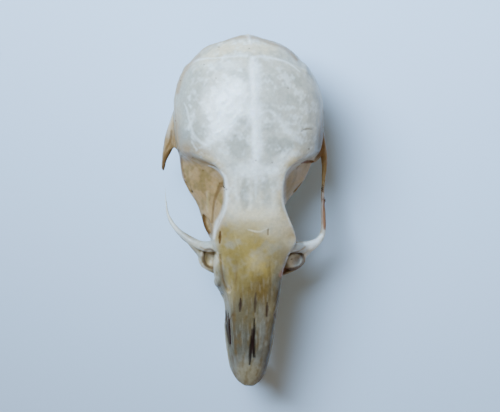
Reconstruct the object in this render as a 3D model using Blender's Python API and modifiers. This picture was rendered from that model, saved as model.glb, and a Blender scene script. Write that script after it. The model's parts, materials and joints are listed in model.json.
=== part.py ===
"""A mouse skull without its lower jaw: the cranium, two upper incisors and six upper molars.

Every size below is in millimetres, and the finished pieces are scaled to metres.
The nose points along -Y and the crown of the head along +Z. The skull rests on its two ear
capsules and on the tips of its incisors, at Z = 0. The animal's own left side is at +X.
The zygomatic arch (cheek bone) is whole on the left and broken through on the right.
"""

import math

import bmesh
import bpy
import numpy as np
from mathutils import Euler, Matrix, Vector

MM = 0.001
LEFT = 1
RIGHT = -1
SIDES = {"left": LEFT, "right": RIGHT}

# The lines plan of the skull
# Six lines run from the nose to the back of the head, as on a boat's drawing. Each row is a
# station: its place along Y, then the distance from the midline and the height, or the height alone.
ROOF_LINE = [
    (-12.02, 5.60), (-11.4, 5.93), (-10.0, 6.38), (-8.0, 6.85), (-5.0, 7.45), (-2.5, 7.95),
    (0.0, 8.38), (3.0, 8.85), (5.5, 9.17), (7.2, 9.25), (8.8, 9.0), (10.0, 8.5), (10.8, 7.95),
    (11.5, 7.2), (11.85, 6.6), (12.02, 6.15),
]
ROOF_EDGE = [
    (-12.02, 0.20, 5.57), (-11.4, 0.60, 5.78), (-10.0, 1.00, 6.15), (-8.0, 1.25, 6.60),
    (-5.0, 1.60, 7.10), (-3.2, 2.10, 7.15), (-2.0, 2.75, 7.10), (-1.0, 2.50, 7.60),
    (-0.3, 2.20, 7.95), (0.4, 2.00, 8.15), (1.3, 1.92, 8.30), (2.2, 2.00, 8.40),
    (2.7, 2.20, 8.42), (3.4, 2.75, 8.42), (4.4, 3.25, 8.45), (7.2, 3.60, 8.30),
    (9.2, 3.30, 7.80), (10.4, 2.75, 7.20), (11.2, 2.00, 6.90), (11.8, 0.80, 6.40),
    (12.02, 0.25, 6.05),
]
FLANK_LINE = [
    (-12.02, 0.32, 5.45), (-11.73, 0.72, 5.38), (-11.4, 0.98, 5.30), (-11.0, 1.17, 5.20),
    (-10.4, 1.31, 5.20), (-9.6, 1.42, 5.30), (-7.5, 1.64, 5.60), (-6.1, 1.82, 5.80),
    (-5.3, 2.02, 5.80), (-4.3, 2.24, 5.80), (-3.0, 2.45, 6.00), (-2.0, 2.35, 6.20),
    (-0.9, 1.65, 6.40), (0.6, 1.40, 6.60), (1.8, 1.60, 6.80), (2.5, 2.05, 6.90),
    (3.1, 2.75, 6.85), (3.6, 4.05, 6.60), (4.1, 4.72, 6.40), (5.4, 5.02, 6.30),
    (7.2, 5.10, 6.20), (8.6, 4.82, 6.00), (9.3, 4.52, 5.85), (10.3, 3.75, 5.50),
    (10.8, 3.28, 5.40), (11.2, 2.80, 5.40), (11.5, 2.10, 5.60), (11.8, 1.05, 5.80),
    (12.02, 0.40, 5.80),
]
SKIRT_LINE = [
    (-12.02, 0.25, 5.35), (-11.4, 0.80, 4.80), (-10.9, 1.00, 4.20), (-10.0, 1.30, 4.10),
    (-8.5, 1.60, 4.20), (-6.4, 1.75, 4.20), (-5.1, 2.10, 4.20), (-3.6, 2.10, 4.10),
    (-2.0, 2.45, 3.70), (-0.45, 2.75, 3.70), (0.4, 3.05, 3.80), (1.45, 3.80, 4.05),
    (2.3, 4.30, 4.20), (3.4, 4.60, 4.30), (4.6, 4.75, 4.30), (7.2, 4.78, 4.20),
    (9.2, 4.30, 3.90), (10.3, 3.65, 3.70), (10.8, 3.15, 3.90), (11.2, 2.55, 4.30),
    (11.6, 1.65, 4.80), (11.9, 0.75, 5.30), (12.02, 0.30, 5.60),
]
SILL_LINE = [
    (-12.02, 0.15, 5.28), (-11.4, 0.50, 4.40), (-10.9, 0.70, 3.60), (-10.0, 0.85, 3.20),
    (-8.0, 1.00, 3.05), (-4.5, 1.30, 2.95), (-2.5, 1.90, 2.90), (0.0, 2.00, 2.90),
    (1.5, 2.00, 3.00), (3.0, 2.60, 3.00), (4.6, 3.20, 2.80), (7.6, 3.40, 2.60),
    (9.5, 2.90, 2.55), (10.4, 2.35, 2.75), (10.9, 1.90, 3.35), (11.3, 1.50, 4.05),
    (11.7, 0.90, 4.80), (12.02, 0.15, 5.55),
]
KEEL_LINE = [
    (-12.02, 5.25), (-11.4, 4.30), (-10.9, 3.45), (-10.0, 3.10), (-7.0, 2.92), (-3.0, 2.74),
    (1.0, 2.90), (5.0, 2.80), (9.0, 2.55), (10.2, 2.60), (10.7, 2.85), (11.1, 3.40),
    (11.5, 4.20), (11.8, 4.90), (12.02, 5.50),
]
# The muzzle is a little lopsided: how far both flanks are shifted towards the animal's right.
FLANK_SHIFT_LINE = [
    (-12.02, 0.0), (-6.6, 0.0), (-5.7, -0.09), (-4.8, -0.30), (-4.0, -0.32), (-3.0, -0.14),
    (-2.2, 0.0), (12.02, 0.0),
]
# The floors of the eye sockets reach out further on the animal's right.
SKIRT_SHIFT_LINE = [
    (-12.02, 0.0), (-6.6, 0.0), (-5.7, -0.09), (-4.8, -0.30), (-4.0, -0.32), (-3.0, -0.18),
    (-2.4, -0.10), (-1.7, -0.34), (-1.0, -0.50), (0.4, -0.46), (1.75, -0.30), (3.1, -0.14),
    (4.2, 0.0), (12.02, 0.0),
]
# The face of this skull leans a little to its own left: how far the midline is off X = 0.
LEAN_LINE = [
    (-12.02, 0.07), (-9.0, 0.18), (-5.0, 0.30), (-2.0, 0.27), (1.0, 0.15), (4.0, 0.08), (8.0, 0.0),
    (12.02, -0.08),
]

CORE_STATIONS = 34
CORE_DETAIL = 3
# How far the stations crowd towards both ends, where the form turns fastest: 0 is evenly spaced
CORE_CROWDING = 0.45

# The braincase is hollow: its own outer form, shrunk about this centre.
HOLLOW_CENTRE = Vector((0.0, 7.2, 5.8))
HOLLOW_SHRINK = (0.915, 0.915, 0.90)
HOLLOW_FRONT = 2.5
HOLLOW_STATIONS = 12
HOLLOW_DETAIL = 2
HOLLOW_END_GAP = 0.02

# The nasal passage: place along Y, half width, floor and ceiling.
NASAL_PASSAGE = [
    (-11.7, 0.62, 4.50, 5.45), (-10.5, 0.98, 4.45, 5.98), (-8.5, 1.20, 4.30, 6.45),
    (-6.5, 1.40, 3.90, 6.80), (-4.5, 1.65, 3.60, 7.10), (-2.8, 1.60, 3.60, 7.20),
]
NASAL_SIDES = 12

# Ear capsules (auditory bullae)
BULLA_CENTRE = (2.85, 6.5, 1.70)
BULLA_RADII = (1.50, 2.15, 1.74)
BULLA_TOE_IN_DEG = 24
EAR_HOLE = ((4.45, 7.3, 2.25), (0.80, 0.60, 0.60))

# Occiput: the knobs that the neck hinges on, the hole for the spinal cord and the lugs beside it
CONDYLE = ((1.72, 10.85, 3.15), (0.55, 0.72, 1.05))
CONDYLE_TILT_DEG = -25
CONDYLE_SPLAY_DEG = 12
FORAMEN_MAGNUM = ((0.0, 11.25, 3.95), (1.70, 1.25, 1.45))
FORAMEN_TILT_DEG = -28
MASTOID = ((3.35, 8.9, 3.30), (1.00, 1.30, 1.20))
LUG = ((2.95, 9.65, 2.50), (0.34, 0.26, 1.05))
LUG_TILT_DEG = -12
NOSE_OPENING = ((0.0, -11.85, 4.62), (0.80, 1.00, 0.78))

# Cheek: the strut in front of the eye, the whole arch, and the two stumps of the broken one.
# Half sizes are (across, up) at each point of a path.
WHOLE_ARCH_PATH = [
    (2.00, -2.45, 6.70), (2.90, -2.50, 6.10), (3.60, -2.54, 5.45), (4.15, -2.42, 5.05),
    (4.68, -2.12, 4.70), (5.06, -1.64, 4.30), (5.21, -1.03, 3.95), (5.25, -0.30, 3.72),
    (5.28, 0.55, 3.60), (5.30, 1.40, 3.70), (5.34, 2.20, 3.90), (5.38, 3.00, 4.18),
    (5.32, 3.80, 4.45), (5.05, 4.80, 4.72), (4.80, 5.90, 4.92), (4.50, 7.20, 5.05),
]
WHOLE_ARCH_HALF_SIZES = [
    (0.40, 0.50), (0.40, 0.45), (0.44, 0.40), (0.36, 0.36), (0.26, 0.34), (0.20, 0.34),
    (0.19, 0.36), (0.18, 0.36), (0.15, 0.34), (0.13, 0.30), (0.13, 0.28), (0.17, 0.28),
    (0.24, 0.30), (0.34, 0.34), (0.42, 0.38), (0.40, 0.40),
]
FRONT_STUMP_PATH = [
    (2.00, -2.40, 6.70), (2.85, -2.44, 6.15), (3.50, -2.40, 5.55), (4.08, -2.12, 5.15),
    (4.66, -1.72, 4.85), (5.12, -1.24, 4.55), (5.45, -0.70, 4.30), (5.63, -0.15, 4.12),
    (5.68, 0.50, 4.00), (5.69, 1.10, 3.95), (5.68, 1.60, 3.92),
]
FRONT_STUMP_HALF_SIZES = [
    (0.38, 0.50), (0.36, 0.45), (0.34, 0.40), (0.30, 0.34), (0.25, 0.28), (0.18, 0.24),
    (0.14, 0.20), (0.10, 0.15), (0.07, 0.11), (0.06, 0.08), (0.05, 0.06),
]
REAR_STUMP_PATH = [
    (4.60, 7.20, 5.05), (4.98, 5.90, 4.92), (5.32, 4.90, 4.72), (5.58, 4.10, 4.50),
    (5.76, 3.50, 4.30), (5.82, 3.05, 4.15), (5.82, 2.75, 4.05),
]
REAR_STUMP_HALF_SIZES = [
    (0.40, 0.40), (0.45, 0.38), (0.42, 0.34), (0.30, 0.30), (0.17, 0.24), (0.13, 0.18),
    (0.08, 0.10),
]

# The shelf that joins the rear of each arch to the braincase, over the jaw joint
SHELVES = {
    LEFT: ((4.52, 5.05, 4.72), (0.80, 1.75, 0.40)),
    RIGHT: ((4.60, 5.50, 4.75), (0.80, 1.45, 0.42)),
}

# Cheek plate in front of the molars: its front and rear edges, from its foot up to the strut
PLATE_FRONT_EDGE = [
    (1.75, -4.55, 3.10), (2.45, -4.30, 3.80), (3.10, -4.00, 4.50), (3.55, -3.55, 5.05),
    (3.65, -3.00, 5.40),
]
PLATE_REAR_EDGE = [
    (2.00, -2.60, 3.05), (2.70, -2.45, 3.75), (3.25, -2.35, 4.40), (3.60, -2.35, 4.95),
    (3.70, -2.40, 5.30),
]
PLATE_THICKNESS = 0.26
PLATE_REACH = {LEFT: 1.0, RIGHT: 0.945}
PLATE_RIM_HALF_SIZE = 0.15
PLATE_POINTS_ACROSS = 4

# The floor of the opening between the cheek plate and the snout
CANAL_FLOOR = ((2.85, -3.25, 4.50), (0.80, 0.85, 0.36))

# The webs that run from each strut down to the rim of its cheek plate
ROOT_WEBS = {
    LEFT: [(4.10, -2.62, 5.00), (3.86, -2.85, 5.02), (3.68, -3.10, 5.08)],
    RIGHT: [(4.30, -2.05, 5.12), (3.92, -2.45, 5.10), (3.60, -2.92, 5.08), (3.42, -3.40, 5.03)],
}
ROOT_WEB_HALF_SIZES = {
    LEFT: [(0.20, 0.24), (0.24, 0.24), (0.14, 0.22)],
    RIGHT: [(0.20, 0.24), (0.28, 0.24), (0.26, 0.24), (0.13, 0.22)],
}

# Upper jaw: the ridge that the molars stand in, and the plates behind the palate
TOOTH_RIDGE_PATH = [
    (1.95, -4.25, 2.85), (1.95, -3.6, 2.72), (1.92, -1.6, 2.60), (1.88, 0.2, 2.55),
    (1.85, 0.95, 2.75),
]
TOOTH_RIDGE_HALF_SIZES = [(0.35, 0.35), (0.68, 0.72), (0.68, 0.72), (0.58, 0.65), (0.30, 0.35)]
PTERYGOID_PATH = [(1.15, 0.3, 2.75), (1.10, 1.5, 2.45), (1.20, 2.8, 2.25), (1.50, 4.4, 2.15)]
PTERYGOID_HALF_SIZES = [(0.20, 0.50), (0.14, 0.60), (0.14, 0.60), (0.14, 0.30)]
CHOANA_PATH = [(0.0, 3.4, 2.15), (0.0, 0.9, 2.85), (0.0, -3.6, 4.4)]
CHOANA_HALF_SIZES = [(0.75, 0.45), (0.62, 0.42), (0.50, 0.45)]
INCISIVE_SLIT = ((0.42, -6.5, 2.85), (0.20, 1.65, 0.75))

# Incisors: an arc in the plane of X, its centre (Y, Z), its radius, and its angles above -Y
INCISOR_ARC_CENTRE = (-7.35, 1.90)
INCISOR_ARC_RADIUS = 3.34
INCISOR_TIP_DEG = -37
INCISOR_ROOT_DEG = 50
INCISOR_TIP_X = 0.37
INCISOR_ROOT_X = 0.62
INCISOR_HALF_WIDTH = 0.34
INCISOR_HALF_DEPTH = 0.56
INCISOR_BEVEL_DEG = 38
INCISOR_EDGE = 0.25
INCISOR_RINGS = 13
INCISOR_SIDES = 12
# The rod starts this far beyond its tip, so that there is something to grind off
INCISOR_SPARE_DEG = 4
# How many degrees deeper a socket goes for each millimetre that it is wider
SOCKET_DEG_A_MM = 20

# Molars, front to back: place along Y, length, width, and how far the crown reaches down
MOLARS = {
    "first": (-2.98, 1.52, 1.02, 1.30),
    "second": (-1.68, 1.00, 0.98, 1.12),
    "third": (-0.74, 0.76, 0.80, 1.02),
}
MOLAR_MIDDLE_X = 1.92
MOLAR_CUSP_HEIGHT = 0.20
MOLAR_NECK = 1.95
MOLAR_ROOT_TOP = 2.55
MOLAR_ROOT_TAPER = 0.80
MOLAR_CORNER_ROUNDING = 0.12
# The higher this is, the nearer the cusps come to the edge of the crown.
MOLAR_EDGE_POWER = 6
MOLAR_SPANS = (4, 6)
MOLAR_CUSP_ROWS = 3

SOCKET_GAP = 0.05

# The block that takes off whatever would reach below the table
GROUND_BLOCK = ((-20, -20, -5), (20, 20, 0))
SHARP_EDGE_DEG = 40

BONE_IVORY = (0.80, 0.78, 0.70, 1.0)
INCISOR_AMBER = (0.80, 0.50, 0.18, 1.0)
ENAMEL_CREAM = (0.86, 0.80, 0.66, 1.0)


def clear_scene():
    """Removes the objects that Blender starts with."""
    for obj in list(bpy.data.objects):
        bpy.data.objects.remove(obj)


def steady_curve(stations, values, places):
    """A smooth curve through values at stations, which never swings past them."""
    x = np.array(stations, float)
    v = np.array(values, float)
    step = np.diff(x)
    slope = np.diff(v) / step
    tangent = np.zeros(len(x))
    same_way = slope[:-1] * slope[1:] > 0
    weight_a = 2 * step[1:] + step[:-1]
    weight_b = step[1:] + 2 * step[:-1]
    with np.errstate(divide="ignore", invalid="ignore"):
        mean = (weight_a + weight_b) / (weight_a / slope[:-1] + weight_b / slope[1:])
    tangent[1:-1] = np.where(same_way, mean, 0.0)
    tangent[0], tangent[-1] = slope[0], slope[-1]
    at = np.clip(places, x[0], x[-1])
    i = np.clip(np.searchsorted(x, at, side="right") - 1, 0, len(x) - 2)
    h = step[i]
    t = (at - x[i]) / h
    return (
        v[i] * (1 + 2 * t) * (1 - t) ** 2
        + tangent[i] * h * t * (1 - t) ** 2
        + v[i + 1] * t**2 * (3 - 2 * t)
        + tangent[i + 1] * h * t**2 * (t - 1)
    )


def rounded_path(points, per_span, closed=False):
    """Points along a Catmull-Rom curve that passes through every given point."""
    p = np.array(points, float)
    count = len(p)
    spans = count if closed else count - 1
    rounded = []
    for i in range(spans):
        if closed:
            a, b, c, d = p[i - 1], p[i], p[(i + 1) % count], p[(i + 2) % count]
        else:
            a, b, c, d = p[max(i - 1, 0)], p[i], p[i + 1], p[min(i + 2, count - 1)]
        bend = 2 * a - 5 * b + 4 * c - d
        turn = 3 * b - a - 3 * c + d
        for t in np.arange(per_span) / per_span:
            rounded.append(0.5 * (2 * b + (c - a) * t + bend * t**2 + turn * t**3))
    if not closed:
        rounded.append(p[-1])
    return np.array(rounded)


def line_at(line, column, places):
    """One column of a line of the lines plan, read at any places along Y."""
    return steady_curve([row[0] for row in line], [row[column] for row in line], places)


def lean(y):
    """How far the skull's midline is off X = 0 at y."""
    return float(line_at(LEAN_LINE, 1, y))


def core_ring(y, detail):
    """One closed cross-section of the skull's core, drawn through the six lines."""
    flank_shift = float(line_at(FLANK_SHIFT_LINE, 1, y))
    skirt_shift = float(line_at(SKIRT_SHIFT_LINE, 1, y))
    shifted_lines = [
        (ROOF_EDGE, 0.0), (FLANK_LINE, flank_shift), (SKIRT_LINE, skirt_shift), (SILL_LINE, 0.0),
    ]
    left_half = []
    right_half = []
    for line, off in shifted_lines:
        width, height = float(line_at(line, 1, y)), float(line_at(line, 2, y))
        left_half.append((width + off, height))
        right_half.append((-width + off, height))
    crown = (0.0, float(line_at(ROOF_LINE, 1, y)))
    keel = (0.0, float(line_at(KEEL_LINE, 1, y)))
    whole = [crown, *left_half, keel, *reversed(right_half)]
    flat = rounded_path(whole, detail, closed=True)
    return [Vector((x, y, z)) for x, z in flat]


def mesh_object(name, bm):
    """A closed object from a bmesh, with its faces turned outwards."""
    bmesh.ops.recalc_face_normals(bm, faces=bm.faces)
    mesh = bpy.data.meshes.new(name)
    bm.to_mesh(mesh)
    bm.free()
    obj = bpy.data.objects.new(name, mesh)
    bpy.context.scene.collection.objects.link(obj)
    return obj


def loft(name, rings):
    """A closed skin over rings of equal length, with a flat cap at each end."""
    bm = bmesh.new()
    rows = [[bm.verts.new(point) for point in ring] for ring in rings]
    around = len(rows[0])
    for front, back in zip(rows, rows[1:]):
        for i in range(around):
            j = (i + 1) % around
            bm.faces.new((front[i], front[j], back[j], back[i]))
    bm.faces.new(rows[0])
    bm.faces.new(rows[-1])
    return mesh_object(name, bm)


def blade(name, path, half_sizes, side=LEFT, per_span=2, around=8):
    """A bent rod of bone with an oval section, whose half sizes (across, up) change along it."""
    points = rounded_path([(x * side, y, z) for x, y, z in path], per_span)
    sizes = rounded_path(half_sizes, per_span)
    turns = [2 * math.pi * k / around for k in range(around)]
    rings = []
    for i, (point, (across, up)) in enumerate(zip(points, sizes)):
        along = Vector(points[min(i + 1, len(points) - 1)] - points[max(i - 1, 0)]).normalized()
        sideways = along.cross(Vector((0, 0, 1))).normalized()
        upwards = sideways.cross(along)
        wide, tall = sideways * across, upwards * up
        rings.append([Vector(point) + wide * math.cos(a) + tall * math.sin(a) for a in turns])
    return loft(name, rings)


def egg(name, centre, radii, side=LEFT, turn_deg=(0, 0, 0), segments=18, rings=12):
    """An ellipsoid, from a sphere primitive."""
    bm = bmesh.new()
    bmesh.ops.create_uvsphere(bm, u_segments=segments, v_segments=rings, radius=1.0)
    turn = Euler([math.radians(a) for a in turn_deg]).to_matrix().to_4x4()
    place = Matrix.Translation((centre[0] * side, centre[1], centre[2]))
    bm.transform(place @ turn @ Matrix.Diagonal((*radii, 1.0)))
    return mesh_object(name, bm)


def block(name, lowest, highest):
    """A box between two corners, from a cube primitive."""
    bm = bmesh.new()
    bmesh.ops.create_cube(bm, size=1.0)
    low, high = Vector(lowest), Vector(highest)
    bm.transform(Matrix.Translation((low + high) / 2) @ Matrix.Diagonal((*(high - low), 1.0)))
    return mesh_object(name, bm)


def baked(obj):
    """The object with its modifiers applied."""
    graph = bpy.context.evaluated_depsgraph_get()
    mesh = bpy.data.meshes.new_from_object(obj.evaluated_get(graph))
    obj.modifiers.clear()
    obj.data = mesh
    return obj


def combine(body, others, operation):
    """Adds the other solids to the body, or cuts them out of it, and removes them."""
    group = bpy.data.collections.new("operands")
    bpy.context.scene.collection.children.link(group)
    for other in others:
        bpy.context.scene.collection.objects.unlink(other)
        group.objects.link(other)
    step = body.modifiers.new(operation.lower(), "BOOLEAN")
    step.operation = operation
    step.operand_type = "COLLECTION"
    step.collection = group
    baked(body)
    for other in others:
        bpy.data.objects.remove(other)
    bpy.data.collections.remove(group)
    return body


def skull_core():
    """Braincase, forehead and snout as one skin."""
    share = (1 - np.cos(np.linspace(0, math.pi, CORE_STATIONS))) / 2
    even = np.linspace(0, 1, CORE_STATIONS)
    front, back = ROOF_LINE[0][0], ROOF_LINE[-1][0]
    places = front + (back - front) * (CORE_CROWDING * share + (1 - CORE_CROWDING) * even)
    return loft("skull core", [core_ring(y, CORE_DETAIL) for y in places])


def braincase_hollow():
    """The space for the brain: the braincase shrunk about its centre."""
    places = np.linspace(HOLLOW_FRONT, ROOF_LINE[-1][0] - HOLLOW_END_GAP, HOLLOW_STATIONS)
    shrink = Matrix.Diagonal((*HOLLOW_SHRINK, 1.0))
    about = Matrix.Translation(HOLLOW_CENTRE) @ shrink @ Matrix.Translation(-HOLLOW_CENTRE)
    rings = [[about @ point for point in core_ring(y, HOLLOW_DETAIL)] for y in places]
    return loft("braincase hollow", rings)


def nasal_hollow():
    """The air passage through the snout, open at the front."""
    turns = [2 * math.pi * k / NASAL_SIDES for k in range(NASAL_SIDES)]
    rings = []
    for y, half_width, floor, ceiling in rounded_path(NASAL_PASSAGE, 2):
        middle, tall = (floor + ceiling) / 2, (ceiling - floor) / 2
        ring = [(half_width * math.cos(a), y, middle + tall * math.sin(a)) for a in turns]
        rings.append([Vector(point) for point in ring])
    return loft("nasal hollow", rings)


def cheek_plate(side):
    """The thin plate in front of the molars. Nerves and muscle pass between it and the snout."""
    front = rounded_path(PLATE_FRONT_EDGE, 2)
    rear = rounded_path(PLATE_REAR_EDGE, 2)
    reach = side * PLATE_REACH[side]
    bm = bmesh.new()
    rows = []
    for a, b in zip(front, rear):
        strip = [a + (b - a) * t for t in np.linspace(0, 1, PLATE_POINTS_ACROSS)]
        rows.append([bm.verts.new((x * reach, y, z)) for x, y, z in strip])
    for low, high in zip(rows, rows[1:]):
        for i in range(PLATE_POINTS_ACROSS - 1):
            bm.faces.new((low[i], low[i + 1], high[i + 1], high[i]))
    plate = mesh_object("cheek plate", bm)
    wall = plate.modifiers.new("wall", "SOLIDIFY")
    wall.thickness = PLATE_THICKNESS
    wall.offset = 0
    return baked(plate)


def plate_rim(side):
    """The thickened front edge of the cheek plate."""
    reach = side * PLATE_REACH[side]
    path = [(x * reach, y, z) for x, y, z in PLATE_FRONT_EDGE]
    half_sizes = [(PLATE_RIM_HALF_SIZE, PLATE_RIM_HALF_SIZE)] * len(path)
    return blade("plate rim", path, half_sizes, per_span=1, around=6)


def added_bone():
    """Everything that stands out of the core, as overlapping solids."""
    pieces = [
        blade("whole arch", WHOLE_ARCH_PATH, WHOLE_ARCH_HALF_SIZES, LEFT),
        blade("front stump", FRONT_STUMP_PATH, FRONT_STUMP_HALF_SIZES, RIGHT),
        blade("rear stump", REAR_STUMP_PATH, REAR_STUMP_HALF_SIZES, RIGHT),
    ]
    for side in SIDES.values():
        pieces += [
            egg("shelf", *SHELVES[side], side, segments=12, rings=6),
            egg("bulla", BULLA_CENTRE, BULLA_RADII, side, (0, 0, -BULLA_TOE_IN_DEG * side), 16, 10),
            egg("condyle", *CONDYLE, side, (CONDYLE_TILT_DEG, 0, CONDYLE_SPLAY_DEG * side), 10, 6),
            egg("mastoid", *MASTOID, side, (0, 0, 0), 10, 6),
            egg("lug", *LUG, side, (LUG_TILT_DEG, 0, 0), 8, 8),
            blade("tooth ridge", TOOTH_RIDGE_PATH, TOOTH_RIDGE_HALF_SIZES, side),
            blade("pterygoid plate", PTERYGOID_PATH, PTERYGOID_HALF_SIZES, side, around=6),
            blade("root web", ROOT_WEBS[side], ROOT_WEB_HALF_SIZES[side], side, 1, 6),
            cheek_plate(side),
            plate_rim(side),
            egg("canal floor", *CANAL_FLOOR, side, segments=8, rings=4),
        ]
    return pieces


def openings():
    """Everything that is cut out of the bone, apart from the tooth sockets."""
    cutters = [
        braincase_hollow(),
        nasal_hollow(),
        egg("nose opening", *NOSE_OPENING, segments=14, rings=8),
        egg("foramen magnum", *FORAMEN_MAGNUM, LEFT, (FORAMEN_TILT_DEG, 0, 0), 14, 8),
        blade("choana", CHOANA_PATH, CHOANA_HALF_SIZES, around=10),
        block("ground", *GROUND_BLOCK),
    ]
    for side in SIDES.values():
        cutters += [
            egg("ear hole", *EAR_HOLE, side, segments=12, rings=8),
            egg("incisive slit", *INCISIVE_SLIT, side, segments=10, rings=8),
        ]
    return cutters


def incisor(name, side, grow=0.0):
    """An upper incisor: an oval rod bent along an arc. grow thickens it, for its socket."""
    centre_y, centre_z = INCISOR_ARC_CENTRE
    first = INCISOR_TIP_DEG - INCISOR_SPARE_DEG
    last = INCISOR_ROOT_DEG + grow * SOCKET_DEG_A_MM
    rings = []
    for degrees in np.linspace(first, last, INCISOR_RINGS):
        angle = math.radians(degrees)
        share = (degrees - INCISOR_TIP_DEG) / (INCISOR_ROOT_DEG - INCISOR_TIP_DEG)
        middle_x = INCISOR_TIP_X + (INCISOR_ROOT_X - INCISOR_TIP_X) * share
        outward = Vector((0, -math.cos(angle), math.sin(angle)))
        middle = Vector((middle_x * side, centre_y, centre_z)) + outward * INCISOR_ARC_RADIUS
        ring = []
        for k in range(INCISOR_SIDES):
            turn = 2 * math.pi * k / INCISOR_SIDES
            across = (INCISOR_HALF_WIDTH + grow) * math.cos(turn)
            deep = (INCISOR_HALF_DEPTH + grow) * math.sin(turn)
            ring.append(middle + Vector((across, 0, 0)) + outward * deep)
        rings.append(ring)
    return loft(name, rings)


def chisel_tip(tooth):
    """Cuts the tooth off at the ground and slopes its rear side up from the cutting edge."""
    bm = bmesh.new()
    bm.from_mesh(tooth.data)
    slope = math.radians(INCISOR_BEVEL_DEG)
    edge_y = min(v.co.y for v in bm.verts if v.co.z < INCISOR_EDGE) + INCISOR_EDGE
    cuts = [
        ((0, edge_y, 0.0), (0, math.sin(slope), -math.cos(slope))),
        ((0, 0, 0.0), (0, 0, -1)),
    ]
    for point, normal in cuts:
        geometry = bm.verts[:] + bm.edges[:] + bm.faces[:]
        found = bmesh.ops.bisect_plane(
            bm, geom=geometry, plane_co=point, plane_no=normal, clear_outer=True
        )
        rim = [item for item in found["geom_cut"] if isinstance(item, bmesh.types.BMEdge)]
        bmesh.ops.holes_fill(bm, edges=rim)
    bmesh.ops.recalc_face_normals(bm, faces=bm.faces)
    bm.to_mesh(tooth.data)
    bm.free()


def molar(name, size, side, grow=0.0):
    """An upper molar: a crown with rows of cusps, and a root. grow fattens it, for its socket."""
    middle_y, length, width, lowest = size
    bm = bmesh.new()
    bmesh.ops.create_grid(bm, x_segments=MOLAR_SPANS[0], y_segments=MOLAR_SPANS[1], size=1.0)
    crown = bm.verts[:]
    for place in (MOLAR_NECK, MOLAR_ROOT_TOP + grow):
        first_time = place == MOLAR_NECK
        open_edges = [edge for edge in bm.edges if edge.is_boundary]
        rim = [edge for edge in open_edges if first_time or edge.verts[0].co.z > 0]
        raised = bmesh.ops.extrude_edge_only(bm, edges=rim)["geom"]
        for vert in (item for item in raised if isinstance(item, bmesh.types.BMVert)):
            vert.co.z = place
    bmesh.ops.holes_fill(bm, edges=[edge for edge in bm.edges if edge.is_boundary])
    for vert in bm.verts:
        u, v, z = vert.co
        taper = MOLAR_ROOT_TAPER if z > MOLAR_NECK else 1.0
        if vert in crown:
            cusp = abs(math.cos(math.pi * u)) * (0.5 + 0.5 * math.cos(MOLAR_CUSP_ROWS * math.pi * v))
            middle = (1 - u**MOLAR_EDGE_POWER) * (1 - v**MOLAR_EDGE_POWER)
            z = lowest - grow + MOLAR_CUSP_HEIGHT * (1 - cusp * middle)
        round_in = 1 - MOLAR_CORNER_ROUNDING * (u * v) ** 2
        vert.co = (
            MOLAR_MIDDLE_X * side + u * (width / 2 * taper * round_in + grow),
            middle_y + v * (length / 2 * taper * round_in + grow),
            z,
        )
    return mesh_object(name, bm)


def lean_over(obj):
    """Shifts every point sideways by the skull's lean at its place along Y."""
    for vert in obj.data.vertices:
        vert.co.x += lean(vert.co.y)


def material(name, colour, roughness):
    made = bpy.data.materials.new(name)
    made.use_nodes = True
    shader = made.node_tree.nodes["Principled BSDF"]
    shader.inputs["Base Color"].default_value = colour
    shader.inputs["Roughness"].default_value = roughness
    return made


def finish(obj, name, collection, surface):
    """Names a piece, leans it, scales it to metres, gives it its material and files it."""
    lean_over(obj)
    obj.data.transform(Matrix.Scale(MM, 4))
    obj.name = obj.data.name = name
    obj.data.materials.clear()
    obj.data.materials.append(surface)
    obj.data.shade_smooth()
    obj.data.set_sharp_from_angle(angle=math.radians(SHARP_EDGE_DEG))
    bpy.context.scene.collection.objects.unlink(obj)
    collection.objects.link(obj)


def build():
    clear_scene()
    skull = bpy.data.collections.new("mouse skull")
    bpy.context.scene.collection.children.link(skull)
    bone = material("bone", BONE_IVORY, 0.55)
    amber = material("incisor enamel", INCISOR_AMBER, 0.25)
    cream = material("molar enamel", ENAMEL_CREAM, 0.30)

    cranium = combine(skull_core(), added_bone(), "UNION")
    sockets = []
    for side_name, side in SIDES.items():
        sockets.append(incisor("incisor socket", side, SOCKET_GAP))
        tooth = incisor("incisor", side)
        chisel_tip(tooth)
        finish(tooth, f"incisor_{side_name}", skull, amber)
        for place, size in MOLARS.items():
            sockets.append(molar("molar socket", size, side, SOCKET_GAP))
            finish(molar("molar", size, side), f"molar_{side_name}_{place}", skull, cream)
    combine(cranium, openings() + sockets, "DIFFERENCE")
    finish(cranium, "cranium", skull, bone)


build()
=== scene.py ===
# %% [markdown]
# # A mouse skull, finished
#
# The frame holds nine plain solids: the cranium and eight teeth. This lesson gives them the
# surface of the real thing. The bone is grown again much finer from the same lines, its seams,
# ridges and nerve holes are worked into it, and it is painted by region the way a cleaned skull
# is coloured: cool and translucent over the brain, yellow where fat stayed in the snout, brown in
# the eye sockets.

# %% The frame
import json
import math
import time

import bmesh
import bpy
import numpy as np
from mathutils import Euler, Matrix, Vector
from mathutils.bvhtree import BVHTree

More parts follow.
